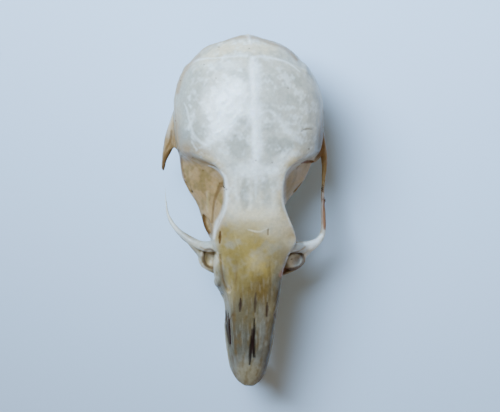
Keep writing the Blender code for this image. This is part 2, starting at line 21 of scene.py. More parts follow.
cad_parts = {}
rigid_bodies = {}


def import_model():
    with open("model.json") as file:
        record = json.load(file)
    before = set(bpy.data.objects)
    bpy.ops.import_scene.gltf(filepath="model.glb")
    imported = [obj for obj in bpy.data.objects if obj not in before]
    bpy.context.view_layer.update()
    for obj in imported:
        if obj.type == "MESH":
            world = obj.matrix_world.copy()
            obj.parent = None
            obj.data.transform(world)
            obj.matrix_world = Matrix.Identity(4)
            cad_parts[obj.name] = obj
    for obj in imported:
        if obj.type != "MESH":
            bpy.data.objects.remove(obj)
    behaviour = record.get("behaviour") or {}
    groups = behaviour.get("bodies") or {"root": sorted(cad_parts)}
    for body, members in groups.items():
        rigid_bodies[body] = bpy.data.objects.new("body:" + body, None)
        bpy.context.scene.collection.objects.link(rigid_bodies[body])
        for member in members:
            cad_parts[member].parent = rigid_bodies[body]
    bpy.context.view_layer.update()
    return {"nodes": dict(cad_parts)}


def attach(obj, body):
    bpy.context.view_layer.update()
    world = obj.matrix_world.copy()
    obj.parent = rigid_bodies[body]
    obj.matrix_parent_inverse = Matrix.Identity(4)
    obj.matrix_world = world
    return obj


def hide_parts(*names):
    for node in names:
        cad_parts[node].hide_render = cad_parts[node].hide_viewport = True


for left_over in list(bpy.data.objects):
    bpy.data.objects.remove(left_over)
started = time.time()
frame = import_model()
METRES = 0.001
LEFT, RIGHT = 1, -1
SIDES = {"left": LEFT, "right": RIGHT}
print("frame:", sorted(frame["nodes"]))

# %% [markdown]
# The camera comes first, because the markings are placed as they are seen from it. It looks down
# on the crown, leaning about six degrees to the animal's right, from the distance at which a
# small thing is photographed. `seen` gives the place of any point in that view, in pixels of a
# picture 500 wide and 412 high. It is used once, while the mesh is made, so the markings are
# fixed to the bone and stay there from any other side.

# %% The camera
PICTURE_WIDTH, PICTURE_HEIGHT = 500, 412
MM_A_PIXEL = 0.0688
AIM = Vector((0.19, 0.31, 5.0))
CAMERA_LEAN_DEG = 6.5
CAMERA_DISTANCE = 160.0
SENSOR_MM = 36.0


def put_in_scene(name, data):
    """A new object in the scene that holds a mesh, a camera or a light."""
    obj = bpy.data.objects.new(name, data)
    bpy.context.scene.collection.objects.link(obj)
    return obj


def camera_axes():
    """The camera's right, up and backward directions."""
    lean = math.radians(CAMERA_LEAN_DEG)
    back = Vector((-math.sin(lean), 0, math.cos(lean)))
    right = Vector((0, 1, 0)).cross(back).normalized()
    return right, back.cross(right), back


def seen(points):
    """Where points in millimetres show in the photograph's frame, in pixels."""
    right, up, back = (np.array(axis) for axis in camera_axes())
    offset = points - np.array(AIM)
    scale = CAMERA_DISTANCE / (CAMERA_DISTANCE - offset @ back) / MM_A_PIXEL
    across = PICTURE_WIDTH / 2 + (offset @ right) * scale
    down = PICTURE_HEIGHT / 2 - (offset @ up) * scale
    return np.stack([across, down], axis=1)


def place_camera():
    data = bpy.data.cameras.new("camera")
    data.sensor_width = SENSOR_MM
    data.lens = SENSOR_MM * CAMERA_DISTANCE / (PICTURE_WIDTH * MM_A_PIXEL)
    data.clip_start = 0.001
    camera = put_in_scene("camera", data)
    right, up, back = camera_axes()
    turn = Matrix((right, up, back)).transposed().to_4x4()
    camera.matrix_world = Matrix.Translation((AIM + back * CAMERA_DISTANCE) * METRES) @ turn
    bpy.context.scene.camera = camera


place_camera()

# %% [markdown]
# A skull has no flat faces and few straight lines, so it is drawn as a boat is: six lines run
# from the nose to the back of the head, and a smooth ring is drawn through them at each station.
# Each row gives the place along Y, then the distance from the midline and the height.

# %% The lines plan
ROOF_LINE = [
    (-12.02, 5.60), (-11.4, 5.93), (-10.0, 6.38), (-8.0, 6.85), (-5.0, 7.45), (-2.5, 7.95),
    (0.0, 8.38), (3.0, 8.85), (5.5, 9.17), (7.2, 9.25), (8.8, 9.0), (10.0, 8.5), (10.8, 7.95),
    (11.5, 7.2), (11.85, 6.6), (12.02, 6.15),
]
ROOF_EDGE = [
    (-12.02, 0.20, 5.57), (-11.4, 0.60, 5.78), (-10.0, 1.00, 6.15), (-8.0, 1.25, 6.60),
    (-5.0, 1.60, 7.10), (-3.2, 2.10, 7.15), (-2.0, 2.75, 7.10), (-1.0, 2.50, 7.60),
    (-0.3, 2.20, 7.95), (0.4, 2.00, 8.15), (1.3, 1.92, 8.30), (2.2, 2.00, 8.40),
    (2.7, 2.20, 8.42), (3.4, 2.75, 8.42), (4.4, 3.25, 8.45), (7.2, 3.60, 8.30),
    (9.2, 3.30, 7.80), (10.4, 2.75, 7.20), (11.2, 2.00, 6.90), (11.8, 0.80, 6.40),
    (12.02, 0.25, 6.05),
]
FLANK_LINE = [
    (-12.02, 0.32, 5.45), (-11.73, 0.72, 5.38), (-11.4, 0.98, 5.30), (-11.0, 1.17, 5.20),
    (-10.4, 1.31, 5.20), (-9.6, 1.42, 5.30), (-7.5, 1.64, 5.60), (-6.1, 1.82, 5.80),
    (-5.3, 2.02, 5.80), (-4.3, 2.24, 5.80), (-3.0, 2.45, 6.00), (-2.0, 2.35, 6.20),
    (-0.9, 1.65, 6.40), (0.6, 1.40, 6.60), (1.8, 1.60, 6.80), (2.5, 2.05, 6.90),
    (3.1, 2.75, 6.85), (3.6, 4.05, 6.60), (4.1, 4.72, 6.40), (5.4, 5.02, 6.30),
    (7.2, 5.10, 6.20), (8.6, 4.82, 6.00), (9.3, 4.52, 5.85), (10.3, 3.75, 5.50),
    (10.8, 3.28, 5.40), (11.2, 2.80, 5.40), (11.5, 2.10, 5.60), (11.8, 1.05, 5.80),
    (12.02, 0.40, 5.80),
]
SKIRT_LINE = [
    (-12.02, 0.25, 5.35), (-11.4, 0.80, 4.80), (-10.9, 1.00, 4.20), (-10.0, 1.30, 4.10),
    (-8.5, 1.60, 4.20), (-6.4, 1.75, 4.20), (-5.1, 2.10, 4.20), (-3.6, 2.10, 4.10),
    (-2.0, 2.45, 3.70), (-0.45, 2.75, 3.70), (0.4, 3.05, 3.80), (1.45, 3.80, 4.05),
    (2.3, 4.30, 4.20), (3.4, 4.60, 4.30), (4.6, 4.75, 4.30), (7.2, 4.78, 4.20),
    (9.2, 4.30, 3.90), (10.3, 3.65, 3.70), (10.8, 3.15, 3.90), (11.2, 2.55, 4.30),
    (11.6, 1.65, 4.80), (11.9, 0.75, 5.30), (12.02, 0.30, 5.60),
]
SILL_LINE = [
    (-12.02, 0.15, 5.28), (-11.4, 0.50, 4.40), (-10.9, 0.70, 3.60), (-10.0, 0.85, 3.20),
    (-8.0, 1.00, 3.05), (-4.5, 1.30, 2.95), (-2.5, 1.90, 2.90), (0.0, 2.00, 2.90),
    (1.5, 2.00, 3.00), (3.0, 2.60, 3.00), (4.6, 3.20, 2.80), (7.6, 3.40, 2.60),
    (9.5, 2.90, 2.55), (10.4, 2.35, 2.75), (10.9, 1.90, 3.35), (11.3, 1.50, 4.05),
    (11.7, 0.90, 4.80), (12.02, 0.15, 5.55),
]
KEEL_LINE = [
    (-12.02, 5.25), (-11.4, 4.30), (-10.9, 3.45), (-10.0, 3.10), (-7.0, 2.92), (-3.0, 2.74),
    (1.0, 2.90), (5.0, 2.80), (9.0, 2.55), (10.2, 2.60), (10.7, 2.85), (11.1, 3.40),
    (11.5, 4.20), (11.8, 4.90), (12.02, 5.50),
]
# The muzzle is a little lopsided: how far both flanks are shifted towards the animal's right.
FLANK_SHIFT_LINE = [
    (-12.02, 0.0), (-6.6, 0.0), (-5.7, -0.09), (-4.8, -0.30), (-4.0, -0.32), (-3.0, -0.14),
    (-2.2, 0.0), (12.02, 0.0),
]
# The floors of the eye sockets reach out further on the animal's right.
SKIRT_SHIFT_LINE = [
    (-12.02, 0.0), (-6.6, 0.0), (-5.7, -0.09), (-4.8, -0.30), (-4.0, -0.32), (-3.0, -0.18),
    (-2.4, -0.10), (-1.7, -0.34), (-1.0, -0.50), (0.4, -0.46), (1.75, -0.30), (3.1, -0.14),
    (4.2, 0.0), (12.02, 0.0),
]
# The face of this skull leans a little to its own left: how far the midline is off X = 0.
LEAN_LINE = [
    (-12.02, 0.07), (-9.0, 0.18), (-5.0, 0.30), (-2.0, 0.27), (1.0, 0.15), (4.0, 0.08), (8.0, 0.0),
    (12.02, -0.08),
]


def steady_curve(stations, values, places):
    """A smooth curve through values at stations, which never swings past them."""
    x = np.array(stations, float)
    v = np.array(values, float)
    step = np.diff(x)
    slope = np.diff(v) / step
    tangent = np.zeros(len(x))
    same_way = slope[:-1] * slope[1:] > 0
    weight_a = 2 * step[1:] + step[:-1]
    weight_b = step[1:] + 2 * step[:-1]
    with np.errstate(divide="ignore", invalid="ignore"):
        mean = (weight_a + weight_b) / (weight_a / slope[:-1] + weight_b / slope[1:])
    tangent[1:-1] = np.where(same_way, mean, 0.0)
    tangent[0], tangent[-1] = slope[0], slope[-1]
    at = np.clip(places, x[0], x[-1])
    i = np.clip(np.searchsorted(x, at, side="right") - 1, 0, len(x) - 2)
    h = step[i]
    t = (at - x[i]) / h
    return (
        v[i] * (1 + 2 * t) * (1 - t) ** 2
        + tangent[i] * h * t * (1 - t) ** 2
        + v[i + 1] * t**2 * (3 - 2 * t)
        + tangent[i + 1] * h * t**2 * (t - 1)
    )


def rounded_path(points, per_span, closed=False):
    """Points along a Catmull-Rom curve that passes through every given point."""
    p = np.array(points, float)
    count = len(p)
    spans = count if closed else count - 1
    rounded = []
    for i in range(spans):
        if closed:
            a, b, c, d = p[i - 1], p[i], p[(i + 1) % count], p[(i + 2) % count]
        else:
            a, b, c, d = p[max(i - 1, 0)], p[i], p[i + 1], p[min(i + 2, count - 1)]
        t = (np.arange(per_span) / per_span)[:, None]
        bend = 2 * a - 5 * b + 4 * c - d
        turn = 3 * b - a - 3 * c + d
        rounded.append(0.5 * (2 * b + (c - a) * t + bend * t**2 + turn * t**3))
    if not closed:
        rounded.append(p[-1:])
    return np.concatenate(rounded)


def line_at(line, column, places):
    """One column of a line of the lines plan, read at any places along Y."""
    return steady_curve([row[0] for row in line], [row[column] for row in line], places)


def lean(y):
    """How far the skull's midline is off X = 0 at y."""
    return line_at(LEAN_LINE, 1, y)


def core_ring(y, detail):
    """One closed cross-section of the skull's core, drawn through the six lines."""
    flank_shift = float(line_at(FLANK_SHIFT_LINE, 1, y))
    skirt_shift = float(line_at(SKIRT_SHIFT_LINE, 1, y))
    shifts = (0.0, flank_shift, skirt_shift, 0.0)
    halves = []
    for side in SIDES.values():
        half = []
        for line, shift in zip((ROOF_EDGE, FLANK_LINE, SKIRT_LINE, SILL_LINE), shifts):
            half.append((float(line_at(line, 1, y)) * side + shift, float(line_at(line, 2, y))))
        halves.append(half)
    crown = (0.0, float(line_at(ROOF_LINE, 1, y)))
    keel = (0.0, float(line_at(KEEL_LINE, 1, y)))
    whole = [crown, *halves[0], keel, *reversed(halves[1])]
    flat = rounded_path(whole, detail, closed=True)
    return np.column_stack([flat[:, 0], np.full(len(flat), y), flat[:, 1]])


# %% [markdown]
# Every solid that goes into the bone is one of four kinds: a skin over rings, an oval rod whose
# section changes along its path, an egg, or a thin sheet given a wall.

# %% The kinds of solid
def solid(name, points, faces):
    """A closed object in millimetres, its faces turned outwards."""
    mesh = bpy.data.meshes.new(name)
    mesh.from_pydata([tuple(p) for p in points], [], faces)
    bm = bmesh.new()
    bm.from_mesh(mesh)
    bmesh.ops.recalc_face_normals(bm, faces=bm.faces)
    bm.to_mesh(mesh)
    bm.free()
    return put_in_scene(name, mesh)


def loft(name, rings):
    """A closed skin over rings of equal length."""
    around = len(rings[0])
    faces = []
    for row in range(len(rings) - 1):
        for i in range(around):
            j = (i + 1) % around
            a, b = row * around, (row + 1) * around
            faces.append((a + i, a + j, b + j, b + i))
    faces.append(tuple(range(around)))
    faces.append(tuple(range((len(rings) - 1) * around, len(rings) * around)))
    return solid(name, np.concatenate(rings), faces)


def blade(name, path, half_sizes, side=LEFT, per_span=8, around=24):
    """A bent rod of bone with an oval section, whose half sizes (across, up) change along it."""
    points = rounded_path([(x * side, y, z) for x, y, z in path], per_span)
    sizes = rounded_path(half_sizes, per_span)
    turns = np.linspace(0, 2 * math.pi, around, endpoint=False)[:, None]
    rings = []
    for i, (point, (across, up)) in enumerate(zip(points, sizes)):
        along = Vector(points[min(i + 1, len(points) - 1)] - points[max(i - 1, 0)]).normalized()
        sideways = along.cross(Vector((0, 0, 1))).normalized()
        upwards = sideways.cross(along)
        spread = np.array(sideways) * across * np.cos(turns) + np.array(upwards) * up * np.sin(turns)
        rings.append(point + spread)
    return loft(name, rings)


def egg(name, centre, radii, side=LEFT, turn_deg=(0, 0, 0), segments=48, rings=32):
    """An ellipsoid."""
    mesh = bpy.data.meshes.new(name)
    bm = bmesh.new()
    bmesh.ops.create_uvsphere(bm, u_segments=segments, v_segments=rings, radius=1.0)
    turn = Euler([math.radians(a) for a in turn_deg]).to_matrix().to_4x4()
    place = Matrix.Translation((centre[0] * side, centre[1], centre[2]))
    bm.transform(place @ turn @ Matrix.Diagonal((*radii, 1.0)))
    bm.to_mesh(mesh)
    bm.free()
    return put_in_scene(name, mesh)


def baked(obj):
    """The object with its modifiers applied."""
    graph = bpy.context.evaluated_depsgraph_get()
    mesh = bpy.data.meshes.new_from_object(obj.evaluated_get(graph))
    obj.modifiers.clear()
    obj.data = mesh
    return obj


# %% [markdown]
# The added bone: the cheek arch is whole on the animal's left. On the right the middle of it has
# broken away, which leaves a thread of bone in front and a spur behind.

# %% The bones that stand out of the core
BULLA_CENTRE = (2.85, 6.5, 1.70)
BULLA_RADII = (1.50, 2.15, 1.74)
BULLA_TOE_IN_DEG = 24
EAR_HOLE = ((4.45, 7.3, 2.25), (0.80, 0.60, 0.60))
CONDYLE = ((1.72, 10.85, 3.15), (0.55, 0.72, 1.05))
CONDYLE_TILT_DEG = -25
CONDYLE_SPLAY_DEG = 12
FORAMEN_MAGNUM = ((0.0, 11.25, 3.95), (1.70, 1.25, 1.45))
FORAMEN_TILT_DEG = -28
MASTOID = ((3.35, 8.9, 3.30), (1.00, 1.30, 1.20))
LUG = ((2.95, 9.65, 2.50), (0.34, 0.26, 1.05))
LUG_TILT_DEG = -12
NOSE_OPENING = ((0.0, -11.85, 4.62), (0.80, 1.00, 0.78))
WHOLE_ARCH_PATH = [
    (2.00, -2.45, 6.70), (2.90, -2.50, 6.10), (3.60, -2.54, 5.45), (4.15, -2.42, 5.05),
    (4.68, -2.12, 4.70), (5.06, -1.64, 4.30), (5.21, -1.03, 3.95), (5.25, -0.30, 3.72),
    (5.28, 0.55, 3.60), (5.30, 1.40, 3.70), (5.34, 2.20, 3.90), (5.38, 3.00, 4.18),
    (5.32, 3.80, 4.45), (5.05, 4.80, 4.72), (4.80, 5.90, 4.92), (4.50, 7.20, 5.05),
]
WHOLE_ARCH_HALF_SIZES = [
    (0.40, 0.50), (0.40, 0.45), (0.44, 0.40), (0.36, 0.36), (0.26, 0.34), (0.20, 0.34),
    (0.19, 0.36), (0.18, 0.36), (0.15, 0.34), (0.13, 0.30), (0.13, 0.28), (0.17, 0.28),
    (0.24, 0.30), (0.34, 0.34), (0.42, 0.38), (0.40, 0.40),
]
FRONT_STUMP_PATH = [
    (2.00, -2.40, 6.70), (2.85, -2.44, 6.15), (3.50, -2.40, 5.55), (4.08, -2.12, 5.15),
    (4.66, -1.72, 4.85), (5.12, -1.24, 4.55), (5.45, -0.70, 4.30), (5.63, -0.15, 4.12),
    (5.68, 0.50, 4.00), (5.69, 1.10, 3.95), (5.68, 1.60, 3.92),
]
FRONT_STUMP_HALF_SIZES = [
    (0.38, 0.50), (0.36, 0.45), (0.34, 0.40), (0.30, 0.34), (0.25, 0.28), (0.18, 0.24),
    (0.14, 0.20), (0.10, 0.15), (0.07, 0.11), (0.06, 0.08), (0.05, 0.06),
]
REAR_STUMP_PATH = [
    (4.60, 7.20, 5.05), (4.98, 5.90, 4.92), (5.32, 4.90, 4.72), (5.58, 4.10, 4.50),
    (5.76, 3.50, 4.30), (5.82, 3.05, 4.15), (5.82, 2.75, 4.05),
]
REAR_STUMP_HALF_SIZES = [
    (0.40, 0.40), (0.45, 0.38), (0.42, 0.34), (0.30, 0.30), (0.17, 0.24), (0.13, 0.18),
    (0.08, 0.10),
]
SHELVES = {
    LEFT: ((4.52, 5.05, 4.72), (0.80, 1.75, 0.40)),
    RIGHT: ((4.60, 5.50, 4.75), (0.80, 1.45, 0.42)),
}
PLATE_FRONT_EDGE = [
    (1.75, -4.55, 3.10), (2.45, -4.30, 3.80), (3.10, -4.00, 4.50), (3.55, -3.55, 5.05),
    (3.65, -3.00, 5.40),
]
PLATE_REAR_EDGE = [
    (2.00, -2.60, 3.05), (2.70, -2.45, 3.75), (3.25, -2.35, 4.40), (3.60, -2.35, 4.95),
    (3.70, -2.40, 5.30),
]
PLATE_THICKNESS = 0.26
PLATE_POINTS_ACROSS = 16
PLATE_POINTS_A_SPAN = 8
PLATE_REACH = {LEFT: 1.0, RIGHT: 0.945}
PLATE_RIM_HALF_SIZE = 0.15
CANAL_FLOOR = ((2.85, -3.25, 4.50), (0.80, 0.85, 0.36))
ROOT_WEBS = {
    LEFT: [(4.10, -2.62, 5.00), (3.86, -2.85, 5.02), (3.68, -3.10, 5.08)],
    RIGHT: [(4.30, -2.05, 5.12), (3.92, -2.45, 5.10), (3.60, -2.92, 5.08), (3.42, -3.40, 5.03)],
}
ROOT_WEB_HALF_SIZES = {
    LEFT: [(0.20, 0.24), (0.24, 0.24), (0.14, 0.22)],
    RIGHT: [(0.20, 0.24), (0.28, 0.24), (0.26, 0.24), (0.13, 0.22)],
}
TOOTH_RIDGE_PATH = [
    (1.95, -4.25, 2.85), (1.95, -3.6, 2.72), (1.92, -1.6, 2.60), (1.88, 0.2, 2.55),
    (1.85, 0.95, 2.75),
]
TOOTH_RIDGE_HALF_SIZES = [(0.35, 0.35), (0.68, 0.72), (0.68, 0.72), (0.58, 0.65), (0.30, 0.35)]
PTERYGOID_PATH = [(1.15, 0.3, 2.75), (1.10, 1.5, 2.45), (1.20, 2.8, 2.25), (1.50, 4.4, 2.15)]
PTERYGOID_HALF_SIZES = [(0.20, 0.50), (0.14, 0.60), (0.14, 0.60), (0.14, 0.30)]
CHOANA_PATH = [(0.0, 3.4, 2.15), (0.0, 0.9, 2.85), (0.0, -3.6, 4.4)]
CHOANA_HALF_SIZES = [(0.75, 0.45), (0.62, 0.42), (0.50, 0.45)]
INCISIVE_SLIT = ((0.42, -6.5, 2.85), (0.20, 1.65, 0.75))
NASAL_PASSAGE = [
    (-11.7, 0.62, 4.50, 5.45), (-10.5, 0.98, 4.45, 5.98), (-8.5, 1.20, 4.30, 6.45),
    (-6.5, 1.40, 3.90, 6.80), (-4.5, 1.65, 3.60, 7.10), (-2.8, 1.60, 3.60, 7.20),
]
HOLLOW_CENTRE = np.array((0.0, 7.2, 5.8))
HOLLOW_SHRINK = np.array((0.915, 0.915, 0.90))
HOLLOW_FRONT = 2.5
HOLLOW_END_GAP = 0.02
HOLLOW_STATIONS = 60
HOLLOW_DETAIL = 6
NASAL_SIDES = 32
NASAL_STATIONS_A_SPAN = 6
CORE_STATIONS = 200
CORE_CROWDING = 0.45
CORE_DETAIL = 9


def cheek_plate(side):
    """The thin plate in front of the molars, as a sheet with a wall."""
    front = rounded_path(PLATE_FRONT_EDGE, PLATE_POINTS_A_SPAN)
    rear = rounded_path(PLATE_REAR_EDGE, PLATE_POINTS_A_SPAN)
    across = PLATE_POINTS_ACROSS
    share = np.linspace(0, 1, across)[:, None]
    points = np.concatenate([a + (b - a) * share for a, b in zip(front, rear)])
    points[:, 0] *= side * PLATE_REACH[side]
    faces = []
    for row in range(len(front) - 1):
        for i in range(across - 1):
            a = row * across + i
            faces.append((a, a + 1, a + across + 1, a + across))
    plate = solid("cheek plate", points, faces)
    wall = plate.modifiers.new("wall", "SOLIDIFY")
    wall.thickness = PLATE_THICKNESS
    wall.offset = 0
    return baked(plate)


def plate_rim(side):
    """The thickened front edge of the cheek plate, which rings the opening beside the snout."""
    reach = side * PLATE_REACH[side]
    path = [(x * reach, y, z) for x, y, z in PLATE_FRONT_EDGE]
    return blade("plate rim", path, [(PLATE_RIM_HALF_SIZE, PLATE_RIM_HALF_SIZE)] * len(path))


def skull_core():
    """Braincase, forehead and snout as one skin."""
    share = (1 - np.cos(np.linspace(0, math.pi, CORE_STATIONS))) / 2
    even = np.linspace(0, 1, CORE_STATIONS)
    front, back = ROOF_LINE[0][0], ROOF_LINE[-1][0]
    places = front + (back - front) * (CORE_CROWDING * share + (1 - CORE_CROWDING) * even)
    return loft("skull core", [core_ring(y, CORE_DETAIL) for y in places])


def standing_bone():
    """Everything that stands out of the core."""
    pieces = [
        blade("whole arch", WHOLE_ARCH_PATH, WHOLE_ARCH_HALF_SIZES, LEFT),
        blade("front stump", FRONT_STUMP_PATH, FRONT_STUMP_HALF_SIZES, RIGHT),
        blade("rear stump", REAR_STUMP_PATH, REAR_STUMP_HALF_SIZES, RIGHT),
    ]
    for side in SIDES.values():
        pieces += [
            egg("shelf", *SHELVES[side], side),
            egg("bulla", BULLA_CENTRE, BULLA_RADII, side, (0, 0, -BULLA_TOE_IN_DEG * side)),
            egg("condyle", *CONDYLE, side, (CONDYLE_TILT_DEG, 0, CONDYLE_SPLAY_DEG * side)),
            egg("mastoid", *MASTOID, side),
            egg("lug", *LUG, side, (LUG_TILT_DEG, 0, 0)),
            blade("tooth ridge", TOOTH_RIDGE_PATH, TOOTH_RIDGE_HALF_SIZES, side),
            blade("pterygoid plate", PTERYGOID_PATH, PTERYGOID_HALF_SIZES, side),
            cheek_plate(side),
            plate_rim(side),
            egg("canal floor", *CANAL_FLOOR, side),
            blade("root web", ROOT_WEBS[side], ROOT_WEB_HALF_SIZES[side], side),
        ]
    return pieces


def braincase_hollow():
    """The space for the brain: the braincase shrunk about its centre."""
    places = np.linspace(HOLLOW_FRONT, ROOF_LINE[-1][0] - HOLLOW_END_GAP, HOLLOW_STATIONS)
    rings = [HOLLOW_CENTRE + (core_ring(y, HOLLOW_DETAIL) - HOLLOW_CENTRE) * HOLLOW_SHRINK for y in places]
    return loft("braincase hollow", rings)


def nasal_hollow():
    """The air passage through the snout, open at the front."""
    turns = np.linspace(0, 2 * math.pi, NASAL_SIDES, endpoint=False)
    rings = []
    for y, half_width, floor, ceiling in rounded_path(NASAL_PASSAGE, NASAL_STATIONS_A_SPAN):
        middle, half_height = (floor + ceiling) / 2, (ceiling - floor) / 2
        across = half_width * np.cos(turns)
        rings.append(np.column_stack([across, np.full(len(turns), y), middle + half_height * np.sin(turns)]))
    return loft("nasal hollow", rings)


def openings():
    """Everything that is cut out of the bone, apart from the tooth sockets."""
    cutters = [
        braincase_hollow(),
        nasal_hollow(),
        egg("nose opening", *NOSE_OPENING),
        egg("foramen magnum", *FORAMEN_MAGNUM, turn_deg=(FORAMEN_TILT_DEG, 0, 0)),
        blade("choana", CHOANA_PATH, CHOANA_HALF_SIZES),
    ]
    for side in SIDES.values():
        cutters += [egg("ear hole", *EAR_HOLE, side), egg("incisive slit", *INCISIVE_SLIT, side)]
    return cutters


# %% [markdown]
# The solids are fused by a voxel remesh, which covers them all with one even skin of small
# squares, about as fine as one pixel of the picture. The openings are then cut, and a second
# remesh softens the cut edges a little, as real bone has no sharp ones.

# %% Fusing and cutting
GRAIN = 0.074


def gather(name, pieces):
    """One object that holds the meshes of several, which are removed."""
    bm = bmesh.new()
    for piece in pieces:
        bm.from_mesh(piece.data)
        bpy.data.objects.remove(piece)
    mesh = bpy.data.meshes.new(name)
    bm.to_mesh(mesh)
    bm.free()
    return put_in_scene(name, mesh)


def fused(obj, size):
    """The object under one even skin of squares."""
    step = obj.modifiers.new("grain", "REMESH")
    step.mode = "VOXEL"
    step.voxel_size = size
    return baked(obj)


def combined(obj, other, operation):
    """The object with another added to it or cut out of it."""
    step = obj.modifiers.new("combine", "BOOLEAN")
    step.operation = operation
    step.solver = "MANIFOLD"
    step.object = other
    baked(obj)
    bpy.data.objects.remove(other)
    return obj


bone = fused(gather("cranium_bone", [skull_core(), *standing_bone()]), GRAIN)
skin = BVHTree.FromObject(bone, bpy.context.evaluated_depsgraph_get())
print("bone fused:", len(bone.data.polygons), "squares")
hollow = fused(gather("hollow", openings()), GRAIN)
combined(bone, hollow, "DIFFERENCE")
fused(bone, GRAIN)
print("bone cut:", len(bone.data.polygons), "squares", round(time.time() - started, 1), "s")

# %% [markdown]
# Mesh points are handled here as one array of numbers, because moving a quarter of a million of
# them one by one would take minutes. A voxel skin has faint terraces, so it is first relaxed:
# every point moves towards the middle of its neighbours, then nearly as far back, which keeps
# thin bone from shrinking away.

# %% Arrays of points
def points_of(mesh):
    flat = np.empty(len(mesh.vertices) * 3)
    mesh.vertices.foreach_get("co", flat)
    return flat.reshape(-1, 3)


def normals_of(mesh):
    flat = np.empty(len(mesh.vertices) * 3)
    mesh.vertex_normals.foreach_get("vector", flat)
    return flat.reshape(-1, 3)


def edges_of(mesh):
    flat = np.empty(len(mesh.edges) * 2, np.int64)
    mesh.edges.foreach_get("vertices", flat)
    return flat.reshape(-1, 2)


def move_points(mesh, points):
    mesh.vertices.foreach_set("co", points.ravel())
    mesh.update()


def neighbour_mean(values, edges):
    """For each point, the mean of the values at the points that it shares an edge with."""
    first, second = edges.T
    count = len(values)
    shared = np.bincount(first, minlength=count) + np.bincount(second, minlength=count)
    totals = []
    for column in values.T:
        totals.append(np.bincount(first, column[second], count) + np.bincount(second, column[first], count))
    return np.stack(totals, axis=1) / shared[:, None]


def relaxed(points, edges, rounds, forth=0.5, back=-0.52):
    for _ in range(rounds):
        for amount in (forth, back):
            points = points + amount * (neighbour_mean(points, edges) - points)
    return points


def ramp(values, low, high):
    """0 below low, 1 above high, with a soft start and end between them."""
    t = np.clip((values - low) / (high - low), 0, 1)
    return t * t * (3 - 2 * t)


def uneven(points, wavelength, seed, waves=14):
    """A smooth random value, mostly between -1 and 1, that varies over the wavelength."""
    chance = np.random.default_rng(seed)
    directions = chance.normal(size=(waves, 3))
    directions /= np.linalg.norm(directions, axis=1)[:, None]
    turns = points @ directions.T * (2 * math.pi / wavelength) + chance.uniform(0, 2 * math.pi, waves)
    return np.sin(turns).sum(axis=1) / math.sqrt(waves)


OCTAVES = 3
OCTAVE_FADE = 0.65
OCTAVE_SEED_STEP = 40


def mottled(points, wavelength, seed):
    """The same with finer and fainter values added to it, as clouds and stains have."""
    total = 0
    for octave in range(OCTAVES):
        finer = uneven(points, wavelength / 2**octave, seed + OCTAVE_SEED_STEP * octave)
        total = total + OCTAVE_FADE**octave * finer
    return total


# %% [markdown]
# Seams, ridges and stains are lines on the bone. A chart is a flat map of the skull from one
# side, in which such a line can be drawn: the crown is mapped as the camera sees it, in pixels,
# and the flanks, the underside and the back of the head in millimetres.

# %% Charts of the bone
CHART_DEPTH = (0.10, 0.25)
FACING_CAMERA = (0.02, 0.22)
FACING_A_SIDE = (0.15, 0.45)
LINE_POINTS_A_SPAN = 6
LINE_MARGIN = 1.1


def charts_of(points, normals, depth):
    """For each chart: the points' places in it, how far each point faces it, and the length of its unit."""
    outside = 1 - ramp(depth, *CHART_DEPTH)
    leaned = points.copy()
    leaned[:, 0] += lean(points[:, 1])
    towards_camera = normals @ np.array(camera_axes()[2])
    return {
        "crown": (seen(leaned), outside * ramp(towards_camera, *FACING_CAMERA), MM_A_PIXEL),
        "left flank": (points[:, 1:], outside * ramp(normals[:, 0], *FACING_A_SIDE), 1.0),
        "right flank": (points[:, 1:], outside * ramp(-normals[:, 0], *FACING_A_SIDE), 1.0),
        "underside": (points[:, :2], outside * ramp(-normals[:, 2], *FACING_A_SIDE), 1.0),
        "back": (points[:, ::2], outside * ramp(normals[:, 1], *FACING_A_SIDE), 1.0),
    }


def under_skin(points):
    """How deep each point lies under the uncut surface: 0 or less outside, more in the hollows."""
    found = [skin.find_nearest(p)[:2] for p in points]
    spots = np.array([spot for spot, _ in found])
    outward = np.array([normal for _, normal in found])
    return np.sum((spots - points) * outward, axis=1)


def on_line(chart, path, half_widths, rounded=True, core=0.0):
    """1 on a line drawn in a chart, falling to 0 at its half width, which may change along it."""
    places, facing, unit = chart
    route = rounded_path(path, LINE_POINTS_A_SPAN) if rounded and len(path) > 2 else np.array(path, float)
    widths = np.atleast_1d(half_widths) / unit
    margin = widths.max() * LINE_MARGIN
    near = np.all((places > route.min(axis=0) - margin) & (places < route.max(axis=0) + margin), axis=1)
    near &= facing > 0
    spots = places[near]
    steps = np.diff(route, axis=0)
    lengths = np.linalg.norm(steps, axis=1)
    starts = np.concatenate([[0], np.cumsum(lengths)])
    nearest = np.full(len(spots), np.inf)
    travelled = np.zeros(len(spots))
    for start, step, length, behind in zip(route, steps, lengths, starts):
        share = np.clip((spots - start) @ step / length**2, 0, 1)
        gap = np.linalg.norm(spots - start - share[:, None] * step, axis=1)
        closer = gap < nearest
        nearest[closer] = gap[closer]
        travelled[closer] = behind + share[closer] * length
    width = np.interp(travelled / starts[-1], np.linspace(0, 1, len(widths)), widths)
    weight = np.zeros(len(places))
    weight[near] = facing[near] * (1 - ramp(nearest / np.maximum(width, 1e-6), core, 1.0))
    return weight


def on_patch(chart, centre, radii, turn_deg=0.0, blur=0.6):
    """1 inside an oval patch of a chart, falling to 0 at its rim."""
    places, facing, _ = chart
    angle = math.radians(turn_deg)
    offset = places - np.array(centre)
    across = offset @ np.array((math.cos(angle), math.sin(angle))) / radii[0]
    along = offset @ np.array((-math.sin(angle), math.cos(angle))) / radii[1]
    return facing * (1 - ramp(np.hypot(across, along), 1 - blur, 1.0))


